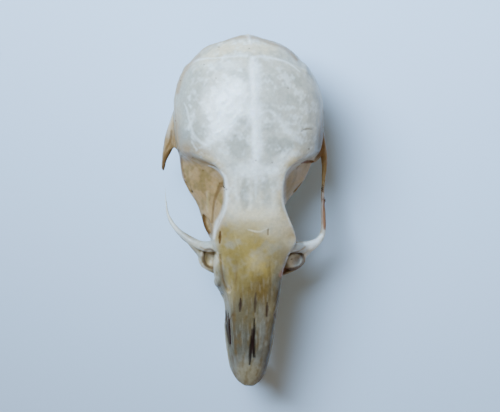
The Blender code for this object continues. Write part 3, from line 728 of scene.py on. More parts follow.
# %% [markdown]
# These are the lines themselves, read off the photograph in its own pixels for the crown. Each
# row has the path, then the half width and the height if the line is worked into the bone, then
# the half width, the colour and its strength if it is painted. Most painted lines are stains; a
# few are painted highlights or painted shade, as noted at each. Half widths and heights are in
# millimetres, and a list of half widths changes along the line. A positive height is a ridge
# and a negative one a groove. They are very low: a tenth of a millimetre is a strong ridge on a
# skull of this size.
#
# A seam is where two bones met and grew together. On a real skull it is a fine zigzag, so
# `stitched` makes one from the plain path, with a fixed seed so that it is the same each time.

# %% Lines on the crown
CROWN_LINES = {
    "braincase ridge": (
        [
            (252.6, 59), (253.6, 72), (255.4, 83), (255.4, 95), (254.8, 107), (255.8, 122), (256.8, 138),
            (257, 158),
        ],
        (0.34, 0.03), ([0.36, 0.56, 0.36, 0.52, 0.46, 0.36], "white", 0.72),
    ),
    "forehead seam": (
        [(257, 158), (255, 170), (255.6, 184), (255.7, 200)],
        ([0.22, 0.2, 0.16, 0.08], 0.014), ([0.26, 0.22, 0.18, 0.06], "white", 0.36),
    ),
    "left crown seam": (
        [
            (253.5, 112.5), (247, 112), (241, 114.5), (236, 119), (230, 126), (221, 134), (213, 139.5),
            (205, 145),
        ],
        (0.4, 0.016), ([0.2, 0.3, 0.45, 0.6, 0.4], "white", 0.5),
    ),
    "right crown seam": (
        [
            (256.5, 116), (262, 112.5), (268, 110.5), (273, 112.5), (279, 119), (285, 127), (291, 133.5),
            (302, 142),
        ],
        (0.34, 0.014), ([0.16, 0.2, 0.34, 0.4, 0.3], "white", 0.45),
    ),
    "left temple ridge": (
        [(184, 103), (187, 110), (189, 119), (191.3, 128), (194.3, 136), (201.5, 142.7), (211, 147)],
        ([0.06, 0.16, 0.2, 0.08], 0.009), ([0.04, 0.16, 0.12, 0.2, 0.18, 0.06], "white", 0.42),
    ),
    "left nape ridge": (
        [
            (183.3, 71.5), (190, 65), (196.5, 60.5), (206, 58.6), (216.4, 58), (227, 57), (237, 56),
            (247, 56),
        ],
        (0.18, 0.018), ([0.04, 0.12, 0.12, 0.08, 0.14, 0.18], "white", 0.5),
    ),
    "right nape ridge": (
        [(253.5, 58), (260, 56.5), (267.4, 57.1), (277.7, 59.4), (285.3, 61.6), (293, 66), (300, 72)],
        ([0.22, 0.2, 0.05], 0.02), ([0.2, 0.18, 0.14, 0.12, 0.1, 0.04], "white", 0.62),
    ),
    "left brow": (
        [
            (208, 165.5), (214, 167.5), (220, 171.5), (225, 177.5), (226.5, 187), (226.3, 198), (225, 206),
            (221.5, 215), (216.5, 224), (214, 238),
        ],
        ([0.04, 0.2, 0.28, 0.28, 0.28], 0.02), ([0.04, 0.2, 0.28, 0.26, 0.24, 0.14], "white", 0.45),
    ),
    "right brow": (
        [
            (306, 159.5), (298, 164), (291, 169), (286.5, 174.5), (284, 181), (283.2, 190), (283.8, 202),
            (287, 211.5), (291, 221), (295, 231), (297.5, 240),
        ],
        (0.28, 0.02), ([0.14, 0.22, 0.3, 0.26, 0.24, 0.14], "white", 0.45),
    ),
    "left waist line": (
        [(236.5, 168), (235.4, 178), (235.8, 190), (237.5, 200)],
        (0.2, 0.008), (0.2, "white", 0.25),
    ),
    "nose root seam": (
        [(247.5, 229.3), (252, 230.6), (257, 231.9), (261, 231.6), (265, 229.8), (268.2, 228)],
        ([0.04, 0.12, 0.12, 0.04], 0.02), ([0.03, 0.09, 0.1, 0.06, 0.03], "ivory", 0.6),
    ),
    "left nose root seam": (
        [(234.3, 230.5), (235.3, 237), (237, 243), (239.5, 249.5)],
        ([0.03, 0.1, 0.04], 0.007), ([0.03, 0.08, 0.1, 0.04], "cream", 0.14),
    ),
    "left slot": (
        [(220.2, 231.5), (219.9, 238), (219.7, 243)],
        ([0.06, 0.13, 0.07], -0.1), ([0.07, 0.15, 0.1], "umber", 1.0),
    ),
    "right slot": ([(268.4, 229.5), (268.2, 234.5)], (0.08, -0.05), (0.09, "umber", 0.6)),
    "left streak": (
        [(240.7, 298.5), (240.5, 305), (239.9, 311)],
        ([0.04, 0.13, 0.07], -0.08), ([0.06, 0.17, 0.09], "violet", 0.75),
    ),
    "middle streak": (
        [(255.6, 293), (255.5, 303), (254.9, 312)],
        ([0.03, 0.1, 0.05], -0.06), ([0.05, 0.14, 0.07], "violet", 0.6),
    ),
    "right streak": (
        [(267.3, 303), (267.4, 309), (267, 316)],
        ([0.05, 0.13, 0.07], -0.08), ([0.06, 0.16, 0.09], "violet", 0.65),
    ),
    # The two nose slits are shallow grooves painted nearly black: painted shade for the depth of the open gap
    # between the nasal bones.
    "right nose slit": (
        [(254.7, 319), (254.2, 330), (253.6, 343), (254.3, 357)],
        ([0.04, 0.1, 0.15, 0.1], -0.1), ([0.05, 0.11, 0.16, 0.12], "dark", 0.92),
    ),
    "left nose slit": (
        [(251.7, 336), (250.9, 348), (249.7, 365)],
        ([0.04, 0.13, 0.15, 0.06], -0.1), ([0.05, 0.13, 0.15, 0.08], "dark", 0.88),
    ),
    "nose slit bridge": ([(252.6, 330), (252.4, 341), (252, 352)], None, (0.15, "violet", 0.6)),
    "left nasal border": (
        [(237, 262), (236, 285), (234.5, 302), (234, 320), (235.5, 345), (238, 366)],
        (0.12, -0.012), (0.12, "umber", 0.22),
    ),
    "left nasal line": (
        [(243, 318), (242.2, 334), (243, 352)],
        (0.14, 0.003), ([0.04, 0.1, 0.04], "grey", 0.12),
    ),
    "right nasal border": (
        [(270, 262), (271, 282), (270, 302), (266.5, 325), (264, 345), (261, 366)],
        (0.12, -0.012), (0.12, "umber", 0.14),
    ),
    "right nasal line": (
        [(260.5, 320), (260, 334), (259.2, 350)],
        (0.14, 0.003), ([0.04, 0.1, 0.04], "grey", 0.12),
    ),
    "right flank line": ([(275, 285), (274, 310), (271, 335)], (0.16, 0.004), (0.16, "olive", 0.12)),
    "left snout line": (
        [(220, 255), (221.5, 270), (223.5, 281), (228, 291)],
        (0.14, -0.04), (0.13, "umber", 0.5),
    ),
    # A painted highlight on a faint rise beside the snout.
    "left snout highlight": (
        [(232.6, 283), (232.3, 289), (230, 293.5), (227.5, 292)],
        ([0.04, 0.11, 0.12, 0.04], 0.005), ([0.03, 0.06, 0.07, 0.03], "cream", 0.16),
    ),
    "purple edge": (
        [(226.2, 311), (227.0, 322), (228.4, 333), (230.2, 343)],
        ([0.08, 0.2, 0.12], -0.05), ([0.1, 0.22, 0.16], "violet", 0.7),
    ),
    "left tip line": ([(232.5, 356), (233.5, 366), (236, 376)], (0.11, -0.02), (0.12, "umber", 0.35)),
    "left ring": (
        [
            (214, 251.5), (210.5, 249.2), (206.5, 249.8), (203.8, 253), (203.2, 258), (204.8, 263),
            (208.5, 266.6), (212.5, 267.6),
        ],
        None, ([0.1, 0.15, 0.2, 0.15], "umber", 0.8),
    ),
    "right ring": (
        [
            (288.5, 256), (291.5, 253.6), (296.5, 252.6), (301, 254), (303.6, 257.5), (303.2, 262),
            (300, 266.6), (294.5, 269), (288, 269.8), (283, 272.5),
        ],
        None, ([0.1, 0.16, 0.22, 0.16], "umber", 0.85),
    ),
    "right ring corner": ([(285.5, 268.5), (282.8, 272), (281, 275)], None, (0.26, "pink", 0.8)),
    "left socket line": (
        [(221.5, 184.5), (218, 191), (215, 199), (213.2, 209), (212.2, 222)],
        (0.2, -0.03), ([0.26, 0.18, 0.13, 0.1, 0.14], "umber", 0.6),
    ),
    "left socket slit": (
        [(203.8, 215.5), (206, 223), (209, 232)],
        ([0.08, 0.26, 0.3, 0.16], -0.26), ([0.16, 0.42, 0.46, 0.3], "umber", 1.0),
    ),
    # A painted highlight along a low ridge on the left socket wall.
    "left socket highlight": ([(208, 192), (207.6, 202), (208.2, 211)], (0.14, 0.03), (0.18, "cream", 0.3)),
    "left socket edge": ([(180.5, 156), (182, 168), (184.5, 177)], (0.16, 0.05), (0.13, "umber", 0.6)),
    "right socket slit": (
        [(301.5, 163.2), (307, 161.8), (313, 162)],
        ([0.08, 0.2, 0.1], -0.16), ([0.06, 0.16, 0.1], "rust", 0.9),
    ),
    "right temple nick": (
        [(301, 131.5), (306, 129.3), (313.5, 128.6)],
        ([0.05, 0.1, 0.04], -0.035), ([0.05, 0.1, 0.04], "umber", 0.55),
    ),
    "arch brown": (
        [(325.2, 199), (324.2, 208), (324.2, 218), (325.2, 228)],
        (0.12, -0.04), (0.2, "rust", 0.85),
    ),
    "arch outer rim": ([(327.6, 206), (328, 217), (328, 229)], None, (0.08, "white", 0.4)),
    "strut highlight": (
        [(305, 243.5), (311, 242.6), (317, 239.5), (321.5, 235.5)],
        None, (0.2, "white", 0.8),
    ),
    "left spur edge": (
        [(171.5, 131), (170, 141), (166, 149), (163.6, 158), (162.6, 169)],
        None, (0.12, "umber", 0.65),
    ),
    "left spur inner": (
        [(178, 151), (171.5, 150.5), (167.3, 155), (164.6, 163), (163.4, 170)],
        None, (0.2, "umber", 0.8),
    ),
    "left root edge": ([(199.5, 250), (201, 257), (202, 262)], None, (0.15, "olive", 0.6)),
    "left strut rim": (
        [(173, 231), (182, 239.5), (190, 246.5), (196, 252)],
        (0.12, 0.025), (0.14, "umber", 0.45),
    ),
    "nape flaw": (
        [(200.5, 51), (205, 46.8), (212, 43.6), (221, 42)],
        (0.18, 0.035), ([0.1, 0.26, 0.2, 0.08], "tan", 0.85),
    ),
    # The next two lines are painted shade along the outline of the braincase, where the thin bone looks
    # darker at grazing light.
    "rear outline shade": (
        [(224, 40.2), (234, 38), (246, 36.6), (258, 38.5), (270, 43), (281, 46.2), (289, 51), (297, 59.5)],
        None, (0.24, "tan", 0.85),
    ),
    "left rear outline shade": (
        [(199, 55), (191, 63), (184, 72), (180, 82), (177.5, 92)],
        None, (0.24, "tan", 0.85),
    ),
}
# Each seam has how far its stitches swing, their half width and their height, in millimetres.
STITCHES = {
    "left crown seam": (0.09, 0.07, -0.012),
    "right crown seam": (0.09, 0.07, -0.012),
    "forehead seam": (0.05, 0.06, -0.012),
}
STITCHES_A_SPAN = 5
STITCH_LENGTHS = (0.4, 1.0)


def stitched(path, swing, unit, seed):
    """The path as a fine zigzag that swings to both sides of it, by a length in millimetres."""
    chance = np.random.default_rng(seed)
    route = rounded_path(path, STITCHES_A_SPAN)
    along_it = np.gradient(route, axis=0)
    along_it /= np.linalg.norm(along_it, axis=1)[:, None]
    sideways = np.column_stack([-along_it[:, 1], along_it[:, 0]])
    turns = np.where(np.arange(len(route)) % 2, 1, -1) * chance.uniform(*STITCH_LENGTHS, len(route))
    return route + sideways * (turns * swing / unit)[:, None]


for seed, (seam, (swing, half_width, height)) in enumerate(STITCHES.items()):
    zigzag = stitched(CROWN_LINES[seam][0], swing, MM_A_PIXEL, seed)
    CROWN_LINES[seam + " stitches"] = (zigzag, (half_width, height), None)

# %% [markdown]
# The other sides of the skull don't show in the photograph. Their lines are those that any
# mouse skull has: the seam of the temple, the seam between snout and cheek, the seams and the
# nerve holes of the palate, and the two seams across the base of the braincase.

# %% Lines on the other sides
def on_both_sides(lines):
    """Lines of the animal's left side, each followed by its mirror image on the right."""
    doubled = {}
    for name, (path, work, stain) in lines.items():
        for side_name, side in SIDES.items():
            doubled[side_name + " " + name] = ([(x * side, other) for x, other in path], work, stain)
    return doubled


FLANK_LINES = {
    "temple seam": (
        [(2.9, 5.9), (3.8, 6.15), (5.2, 6.3), (6.8, 6.25), (8.2, 5.9), (9.1, 5.3), (9.4, 4.5)],
        (0.12, -0.03), (0.13, "tan", 0.6),
    ),
    "nape side ridge": ([(9.5, 7.1), (9.9, 6.3), (9.9, 5.4), (9.6, 4.4), (9.3, 3.7)], (0.34, 0.08), None),
    "snout seam": (
        [(-7.1, 6.7), (-7.5, 6.1), (-7.3, 5.4), (-7.8, 4.7), (-7.6, 3.9), (-7.9, 3.3)],
        (0.11, -0.03), (0.13, "umber", 0.45),
    ),
    "tear bone seam": ([(-3.6, 6.9), (-2.9, 6.5), (-2.5, 6.0)], (0.11, -0.03), (0.13, "tan", 0.6)),
    "socket seam": (
        [(-1.4, 6.2), (-0.4, 5.2), (0.9, 5.0), (2.2, 5.4), (3.0, 6.0)],
        (0.1, -0.01), (0.13, "umber", 0.12),
    ),
    # The nerve hole is a shallow dent painted nearly black: painted shade for the depth of the opening.
    "nerve hole": ([(1.4, 4.2), (1.9, 4.25)], (0.26, -0.24), (0.28, "dark", 0.85)),
    "incisor root": (
        [(-11.2, 4.5), (-9.9, 4.75), (-8.4, 4.4), (-7.3, 3.7)],
        ([0.3, 0.8, 0.8, 0.4], 0.08), (0.6, "cream", 0.4),
    ),
}
RIGHT_FLANK_LINES = {
    "purple flank": (
        [(-7.0, 5.95), (-7.6, 5.88), (-8.3, 5.78), (-9.0, 5.62), (-9.3, 5.52)],
        ([0.06, 0.26, 0.32, 0.24, 0.06], -0.06), ([0.1, 0.3, 0.4, 0.32, 0.1], "violet", 0.9),
    ),
}
UNDERSIDE_LINES = {
    "palate seam": (
        [(0, -10.3), (0, -8.3), (0, -4.9), (0, -2.0), (0, 0.1)],
        (0.12, -0.035), (0.14, "umber", 0.45),
    ),
    "palate cross seam": (
        [(-1.2, -1.5), (-0.7, -1.9), (0, -2.05), (0.7, -1.9), (1.2, -1.5)],
        (0.1, -0.03), (0.14, "umber", 0.4),
    ),
    **on_both_sides({
        "palate groove": (
            [(0.62, -4.6), (0.66, -3.0), (0.72, -1.2), (0.8, -0.2)],
            (0.18, -0.06), (0.2, "tan", 0.6),
        ),
        # The palate holes are shallow dents painted nearly black: painted shade for the depth of the
        # openings.
        "palate hole": ([(0.74, -1.0), (0.78, -0.6)], (0.16, -0.18), (0.18, "dark", 0.85)),
    }),
    "front base seam": ([(-1.05, 4.55), (0, 4.65), (1.05, 4.55)], (0.11, -0.05), (0.15, "umber", 0.55)),
    "rear base seam": ([(-1.0, 7.75), (0, 7.85), (1.0, 7.75)], (0.11, -0.05), (0.15, "umber", 0.55)),
    "base ridge": ([(0, 8.3), (0, 9.6)], (0.24, 0.06), None),
    **on_both_sides({
        "ear crease": ([(3.5, 4.9), (3.1, 6.1), (3.0, 7.6), (3.4, 8.4)], (0.14, -0.025), (0.16, "tan", 0.45)),
        # The neck holes are shallow dents painted nearly black: painted shade for the depth of the openings.
        "neck hole": ([(2.05, 9.35), (2.15, 9.6)], (0.18, -0.18), (0.2, "dark", 0.8)),
    }),
}
BACK_LINES = {
    "neck ridge": (
        [(0, 7.5), (0, 7.0), (0, 6.3), (0, 5.5)],
        ([0.06, 0.3, 0.3], 0.06), ([0.06, 0.3, 0.3], "white", 0.3),
    ),
    **on_both_sides({
        "neck seam": ([(1.5, 6.5), (2.1, 5.7), (2.5, 4.8), (2.6, 3.9)], (0.12, -0.03), (0.15, "tan", 0.55)),
    }),
}
LINES = {
    "crown": CROWN_LINES,
    "left flank": FLANK_LINES,
    "right flank": FLANK_LINES | RIGHT_FLANK_LINES,
    "underside": UNDERSIDE_LINES,
    "back": BACK_LINES,
}

# %% [markdown]
# The lines are worked into the bone first, with wide shallow swellings and dents on the crown and
# a faint unevenness everywhere. Each swelling has its centre and radii in pixels and its height.

# %% Working the relief
CROWN_SWELLINGS = [
    ((217.5, 281), (3.5, 8.0), 0.14), ((221.5, 297), (3.5, 6.0), -0.14), ((273, 355.5), (3.2, 5.5), 0.14),
    ((229, 290), (2.6, 3.6), -0.10), ((246, 196), (7.0, 22.0), -0.07), ((268, 196), (8.0, 22.0), -0.05),
    ((240, 142), (13.0, 16.0), -0.04), ((279, 146), (12.0, 12.0), -0.04), ((209.5, 258), (4.2, 7.0), -0.10),
    ((295, 261), (5.5, 6.5), -0.10),
]
SURFACE_WAVE = 1.6
SURFACE_WAVE_HEIGHT = 0.016
RIPPLE_WAVE = 0.45
RIPPLE_HEIGHT = 0.005
BONE_RELAX_ROUNDS = 5


def worked(points, normals, depth):
    """The points with the relief pushed out along their normals."""
    charts = charts_of(points, normals, depth)
    rise = SURFACE_WAVE_HEIGHT * uneven(points, SURFACE_WAVE, seed=3)
    rise += RIPPLE_HEIGHT * uneven(points, RIPPLE_WAVE, seed=4)
    for chart, lines in LINES.items():
        for name, (path, work, _) in lines.items():
            if work:
                half_width, height = work
                rise += height * on_line(charts[chart], path, half_width, "stitches" not in name)
    for centre, radii, height in CROWN_SWELLINGS:
        rise += height * on_patch(charts["crown"], centre, radii)
    return points + normals * rise[:, None]


points = relaxed(points_of(bone.data), edges_of(bone.data), BONE_RELAX_ROUNDS)
move_points(bone.data, points)
depth = under_skin(points)
points = worked(points, normals_of(bone.data), depth)
points[:, 2] = np.maximum(points[:, 2], 0.0)
move_points(bone.data, points)
print("relief worked", round(time.time() - started, 1), "s")

# %% [markdown]
# The fine skin has far more faces than a viewer needs inside the braincase and under the
# palate. Decimate works only where its vertex group is 1, so it is used twice: first on the
# walls inside, then on all that the camera doesn't see. The crown keeps a point for each pixel.
# Decimate takes the flattest edges first, which leaves long slivers. On a mesh made so small that
# every error counts as none, it takes the shortest edges instead, and the triangles stay even.

# %% Thinning the hidden faces
INNER_SHARE_KEPT = 0.05
TRIANGLES_KEPT = 194000
THINNING_SCALE = 5e-5
INNER_DEPTH = 0.22
HIDDEN_FACING = 0.12


def triangle_count(mesh):
    corners = np.empty(len(mesh.polygons), np.int64)
    mesh.polygons.foreach_get("loop_total", corners)
    return int((corners - 2).sum())


def thinned(obj, where, kept):
    """The object with that share of its triangles, all of them taken where the mask is true."""
    move_points(obj.data, points_of(obj.data) * THINNING_SCALE)
    group = obj.vertex_groups.new(name="thin")
    group.add(np.nonzero(where)[0].tolist(), 1.0, "REPLACE")
    step = obj.modifiers.new("thin", "DECIMATE")
    step.ratio = kept
    step.vertex_group = group.name
    baked(obj)
    obj.vertex_groups.clear()
    move_points(obj.data, points_of(obj.data) / THINNING_SCALE)


inner = depth > INNER_DEPTH
thinned(bone, inner, 1 - inner.mean() * (1 - INNER_SHARE_KEPT))
print("inside thinned:", triangle_count(bone.data), "triangles", round(time.time() - started, 1), "s")
hidden = normals_of(bone.data) @ np.array(camera_axes()[2]) < HIDDEN_FACING
hidden |= under_skin(points_of(bone.data)) > INNER_DEPTH
thinned(bone, hidden, TRIANGLES_KEPT / triangle_count(bone.data))
print("bone thinned:", triangle_count(bone.data), "triangles", round(time.time() - started, 1), "s")

# %% [markdown]
# Colour is painted on the points too. Cleaned bone is white where it is thick and greyer where
# it is thin, because the dark hollow shows through it. Fat and dried tissue leave yellow, tan
# and brown, most of all in the snout and the eye sockets. Some of the paint is light and shade:
# painted highlights on ridges and a few bright spots, painted shade in hollows, in holes and
# along the outline of the braincase, and paler paint where the eye socket and the rings beside
# the snout lie in shade. A few named colours are enough.

# %% The painter's colours
def linear(hex_colour):
    """A linear colour from an sRGB hex value such as #C8C2B4."""
    channels = [int(hex_colour[i : i + 2], 16) / 255 for i in (1, 3, 5)]
    return tuple(c / 12.92 if c <= 0.04045 else ((c + 0.055) / 1.055) ** 2.4 for c in channels) + (1.0,)


PALETTE = {
    "ivory": "#DECFAD", "white": "#F0F6F4", "cool": "#C7C5B8", "grey": "#B3B0A1", "smoke": "#959488",
    "cream": "#CFB57F", "yellow": "#987D36", "olive": "#705E34", "ochre": "#614A22", "horn": "#585142",
    "tan": "#A07F52", "umber": "#5B3F21", "rust": "#815330", "dark": "#140D09", "violet": "#271414",
    "pink": "#AA7B66", "hollow": "#816641",
}
COLOURS = {name: np.array(linear(value)[:3]) for name, value in PALETTE.items()}
CRISP_COLOURS = {"dark", "umber", "rust", "violet"}
CRISP_CORE = 0.35
PATCH_BLUR = 0.75
SPECK_BLUR = 0.7
# Each zone of colour fades in or out over a span of millimetres.
SNOUT_Y = (-6.5, -1.5)
NAPE_Y = (3.3, 4.1)
LOW_Z = (2.5, 6.0)
BRAINCASE_Y = (-0.5, 2.0)
BRAINCASE_FACING = (-0.2, 0.3)
TEMPLE_X = (1.6, 3.2)
TEMPLE_TOP_Z = (7.0, 7.8)
STEEP_FACING = (0.10, 0.60)
SOCKET_INNER_X, SOCKET_OUTER_X = (1.2, 1.7), (4.2, 4.9)
SOCKET_FLOOR_Z, SOCKET_TOP_Z = (3.0, 3.8), (6.9, 7.8)
SOCKET_FRONT_Y, SOCKET_BACK_Y = (-2.2, -1.4), (2.7, 3.9)
SHADED_SIDE_X = (-0.5, 0.5)
SOCKET_WALL_X = (2.0, 3.6)
ARCH_X, ARCH_FRONT_Y, ARCH_BACK_Y = (4.75, 5.05), (0.8, 2.2), (4.5, 6.0)
HOLLOW_SPAN = (0.004, 0.05)
INSIDE_DEPTH = (0.12, 0.45)
INSIDE_STRENGTH = 0.85
GRAIN_STRETCH = (1, 0.22, 1)
GRAIN_WAVE, FINE_GRAIN_WAVE = 0.50, 0.26
# Each coat has its zone, its clouds if it is uneven (wavelength, seed, and the span of values
# over which the cloud thickens), then its colour and strength.
BASE_COATS = [
    ("snout", None, "cream", 0.9),
    ("snout", None, "horn", 0.30),
    ("snout", (1.8, 7, -0.6, 1.2), "yellow", 0.5),
    ("low", (2.2, 8, -0.2, 1.4), "tan", 0.35),
]
UPPER_COATS = [
    ("behind the snout", (1.4, 9, -0.4, 1.8), "smoke", 0.40),
    ("bright crown", (1.0, 10, -0.2, 1.8), "white", 0.45),
    ("socket", None, "tan", 0.85),
    ("socket", (1.2, 13, -0.6, 1.4), "olive", 0.60),
    # Cream on the socket of the animal's left, away from the window, is painted light: it makes the wall
    # paler to make up for the shade there.
    ("shaded socket", None, "cream", 0.65),
    ("shaded socket wall", None, "yellow", 0.60),
    ("arches", None, "tan", 0.60),
    ("lit socket wall", None, "tan", 0.30),
    ("steep snout", None, "olive", 0.40),
    # Horn on the steep sides of the back of the braincase is painted shade: it darkens the outline where the
    # thin bone catches less light.
    ("steep nape shade", None, "horn", 0.40),
]
# Each patch has its centre and radii in pixels, its turn in degrees, its colour and strength, and
# its blur where that isn't the usual one. A later patch lies over an earlier one.
CROWN_PATCHES = [
    ((250, 120), (110, 130), 0, "cool", 1.0), ((292, 98), (46, 62), 0, "grey", 0.5),
    ((190, 95), (27, 50), 15, "smoke", 0.75), ((203, 124), (18, 16), 0, "smoke", 0.35),
    # The white patch centred at (229, 104) is partly a painted highlight, the sheen of the window on the left
    # parietal, over bone that is whitish itself.
    ((229, 104), (23, 40), 20, "white", 1.0), ((222, 128), (18, 15), -35, "white", 0.75),
    ((255, 80), (10, 26), 0, "white", 0.9), ((254, 112), (13, 18), 0, "white", 1.0),
    ((257, 142), (8, 30), 0, "white", 1.0), ((250, 47), (64, 14), 0, "ivory", 0.7),
    ((213, 52), (28, 14), -18, "cream", 0.35), ((240, 132), (14, 24), 12, "smoke", 0.28),
    ((239, 146), (14, 17), 0, "grey", 0.6, 0.35), ((239, 146), (12, 15), 0, "smoke", 0.45, 0.35),
    ((273, 147), (11, 13), 0, "smoke", 0.55, 0.4), ((285, 147), (10, 11), 0, "smoke", 0.6, 0.4),
    ((270, 127), (9, 7), 25, "smoke", 0.3), ((224, 66), (26, 9), 0, "white", 0.35),
    ((186, 142), (30, 28), 0, "smoke", 1.0), ((308, 142), (22, 18), 0, "smoke", 0.35),
    ((228, 170), (18, 14), 0, "cool", 0.6), ((288, 160), (22, 12), -30, "white", 0.45),
    ((256, 170), (36, 12), 0, "white", 0.55), ((245, 196), (7, 26), 0, "smoke", 0.4),
    ((268, 196), (9, 28), 0, "smoke", 0.38), ((252, 260), (62, 60), 0, "ivory", 0.9, 0.5),
    ((250, 232), (54, 26), 0, "yellow", 0.42), ((249, 264), (62, 54), 0, "yellow", 0.95, 0.7),
    ((224, 238), (17, 25), 0, "yellow", 0.75), ((226, 256), (20, 46), 0, "olive", 0.45),
    ((248, 240), (20, 22), 0, "olive", 0.3), ((238, 270), (16, 34), 0, "olive", 0.55),
    ((252, 296), (42, 34), 0, "olive", 0.95), ((262, 292), (17, 24), 0, "ochre", 0.8),
    ((257, 261), (13, 16), 0, "cream", 0.22), ((280, 262), (18, 36), 0, "horn", 0.45),
    ((221, 283), (9, 24), 0, "horn", 0.85), ((277, 290), (12, 30), 0, "horn", 0.9),
    ((238, 325), (14, 34), 0, "horn", 0.6), ((250, 352), (48, 66), 0, "horn", 1.0, 0.4),
    ((240, 335), (12, 40), 0, "horn", 0.3), ((248, 372), (30, 26), 0, "cool", 0.22),
    ((272, 325), (9, 40), 8, "olive", 0.22), ((250, 316), (26, 20), 0, "olive", 0.35),
    ((249, 374), (22, 18), 0, "yellow", 0.3), ((264, 330), (10, 40), 0, "cool", 0.12),
    ((199, 185), (36, 56), -20, "tan", 1.0, 0.6), ((196, 170), (24, 13), 22, "tan", 0.9),
    ((214, 184), (20, 28), -20, "umber", 0.6), ((205, 184), (12, 40), -20, "umber", 0.22),
    ((219, 200), (10, 42), 0, "tan", 0.95), ((204, 225), (13, 22), -20, "tan", 1.0),
    ((206, 226), (8, 18), -20, "umber", 0.5), ((293, 187), (19, 48), 10, "cream", 0.9, 0.6),
    ((300, 176), (16, 22), 30, "cream", 0.6), ((287, 188), (7, 34), 8, "ochre", 0.9),
    ((296, 188), (16, 38), 10, "yellow", 0.5), ((207, 163), (28, 10), 22, "cream", 0.6),
    ((292, 164), (18, 8), -24, "cream", 0.35), ((170, 140), (14, 40), 10, "tan", 0.9),
    ((164, 158), (12, 32), 8, "umber", 0.5, 0.4), ((325, 168), (12, 76), 0, "tan", 1.0, 0.5),
    ((325, 172), (12, 66), 0, "ochre", 0.75, 0.5), ((325, 212), (9, 30), 0, "rust", 0.7, 0.5),
    # The white patch centred at (313, 241) is a painted highlight on the front strut of the whole cheek arch.
    ((185, 160), (12, 24), 0, "tan", 0.8), ((313, 241), (14, 10), -30, "white", 0.9),
    ((300, 247), (12, 10), 0, "smoke", 0.9), ((194, 242), (30, 20), 30, "smoke", 1.0, 0.5),
    ((196, 246), (16, 10), 20, "cream", 0.35), ((171, 215), (10, 32), 0, "grey", 0.7),
    # The pale patches centred at (209.5, 258), (208, 262) and (296, 261) are partly the rings' own pale bone
    # and partly painted light that makes up for the shade in these hollows.
    ((209.5, 258), (11, 14), 0, "ivory", 1.0, 0.5), ((208, 262), (9, 12), 0, "cream", 0.7),
    ((296, 261), (11, 12), 0, "white", 1.0, 0.4), ((272, 230), (18, 12), 0, "ivory", 0.35),
    # The small cream patch centred at (229, 290) is the same painted highlight beside the snout.
    ((255, 214), (36, 9), 0, "ivory", 0.7), ((229, 290), (3.2, 5), 0, "cream", 0.6, 0.6),
    ((273, 355), (4, 7), 0, "cool", 0.6),
]
SPECKS = [
    (215.8, 78), (204, 64.5), (256, 160.6), (272.3, 162.5), (192.8, 157.3), (203, 170.4), (226.4, 189.5),
    (180.5, 80.5), (221.2, 186.5), (219.5, 183.5), (300, 266.5), (291.5, 259.3), (323.5, 187.5),
    (326.8, 194.6), (323, 199.5), (309, 149), (318.5, 152.5), (175.5, 121), (233, 374.5), (219, 47.2),
    (249, 48.5), (288, 88),
]
SPECK_RADIUS = 1.15
SPECK_COLOUR_STRENGTH = 0.75


def paint(colours, weight, colour, strength):
    """Lays a colour over the others where weight is high."""
    share = (weight * strength)[:, None]
    return colours * (1 - share) + COLOURS[colour] * share


def zones_of(points, normals):
    """How far each point belongs to each zone of colour."""
    aside = np.abs(points[:, 0])
    y, z = points[:, 1], points[:, 2]
    snout = 1 - ramp(y, *SNOUT_Y)
    steep = 1 - ramp(normals[:, 2], *STEEP_FACING)
    braincase = ramp(y, *BRAINCASE_Y) * ramp(normals[:, 2], *BRAINCASE_FACING)
    socket = ramp(aside, *SOCKET_INNER_X) * (1 - ramp(aside, *SOCKET_OUTER_X))
    socket *= ramp(z, *SOCKET_FLOOR_Z) * (1 - ramp(z, *SOCKET_TOP_Z))
    socket *= ramp(y, *SOCKET_FRONT_Y) * (1 - ramp(y, *SOCKET_BACK_Y))
    # The animal's left side lies away from the window; its socket is painted paler there to make up for the
    # shade.
    shaded = ramp(points[:, 0], *SHADED_SIDE_X)
    return {
        "snout": snout,
        "behind the snout": 1 - snout,
        "low": 1 - ramp(z, *LOW_Z),
        "bright crown": braincase * (1 - ramp(aside, *TEMPLE_X) * (1 - ramp(z, *TEMPLE_TOP_Z))),
        "socket": socket,
        "shaded socket": socket * shaded,
        "shaded socket wall": socket * shaded * (1 - ramp(aside, *SOCKET_WALL_X)),
        "lit socket wall": socket * (1 - shaded) * steep,
        "arches": ramp(aside, *ARCH_X) * ramp(y, *ARCH_FRONT_Y) * (1 - ramp(y, *ARCH_BACK_Y)),
        "steep snout": steep * snout,
        "steep nape shade": steep * ramp(y, *NAPE_Y),
    }


def coated(colours, points, zones, coats):
    """The colours with a list of coats painted over them."""
    for zone, clouds, colour, strength in coats:
        weight = zones[zone]
        if clouds:
            wavelength, seed, thin, thick = clouds
            weight = weight * ramp(mottled(points, wavelength, seed), thin, thick)
        colours = paint(colours, weight, colour, strength)
    return colours


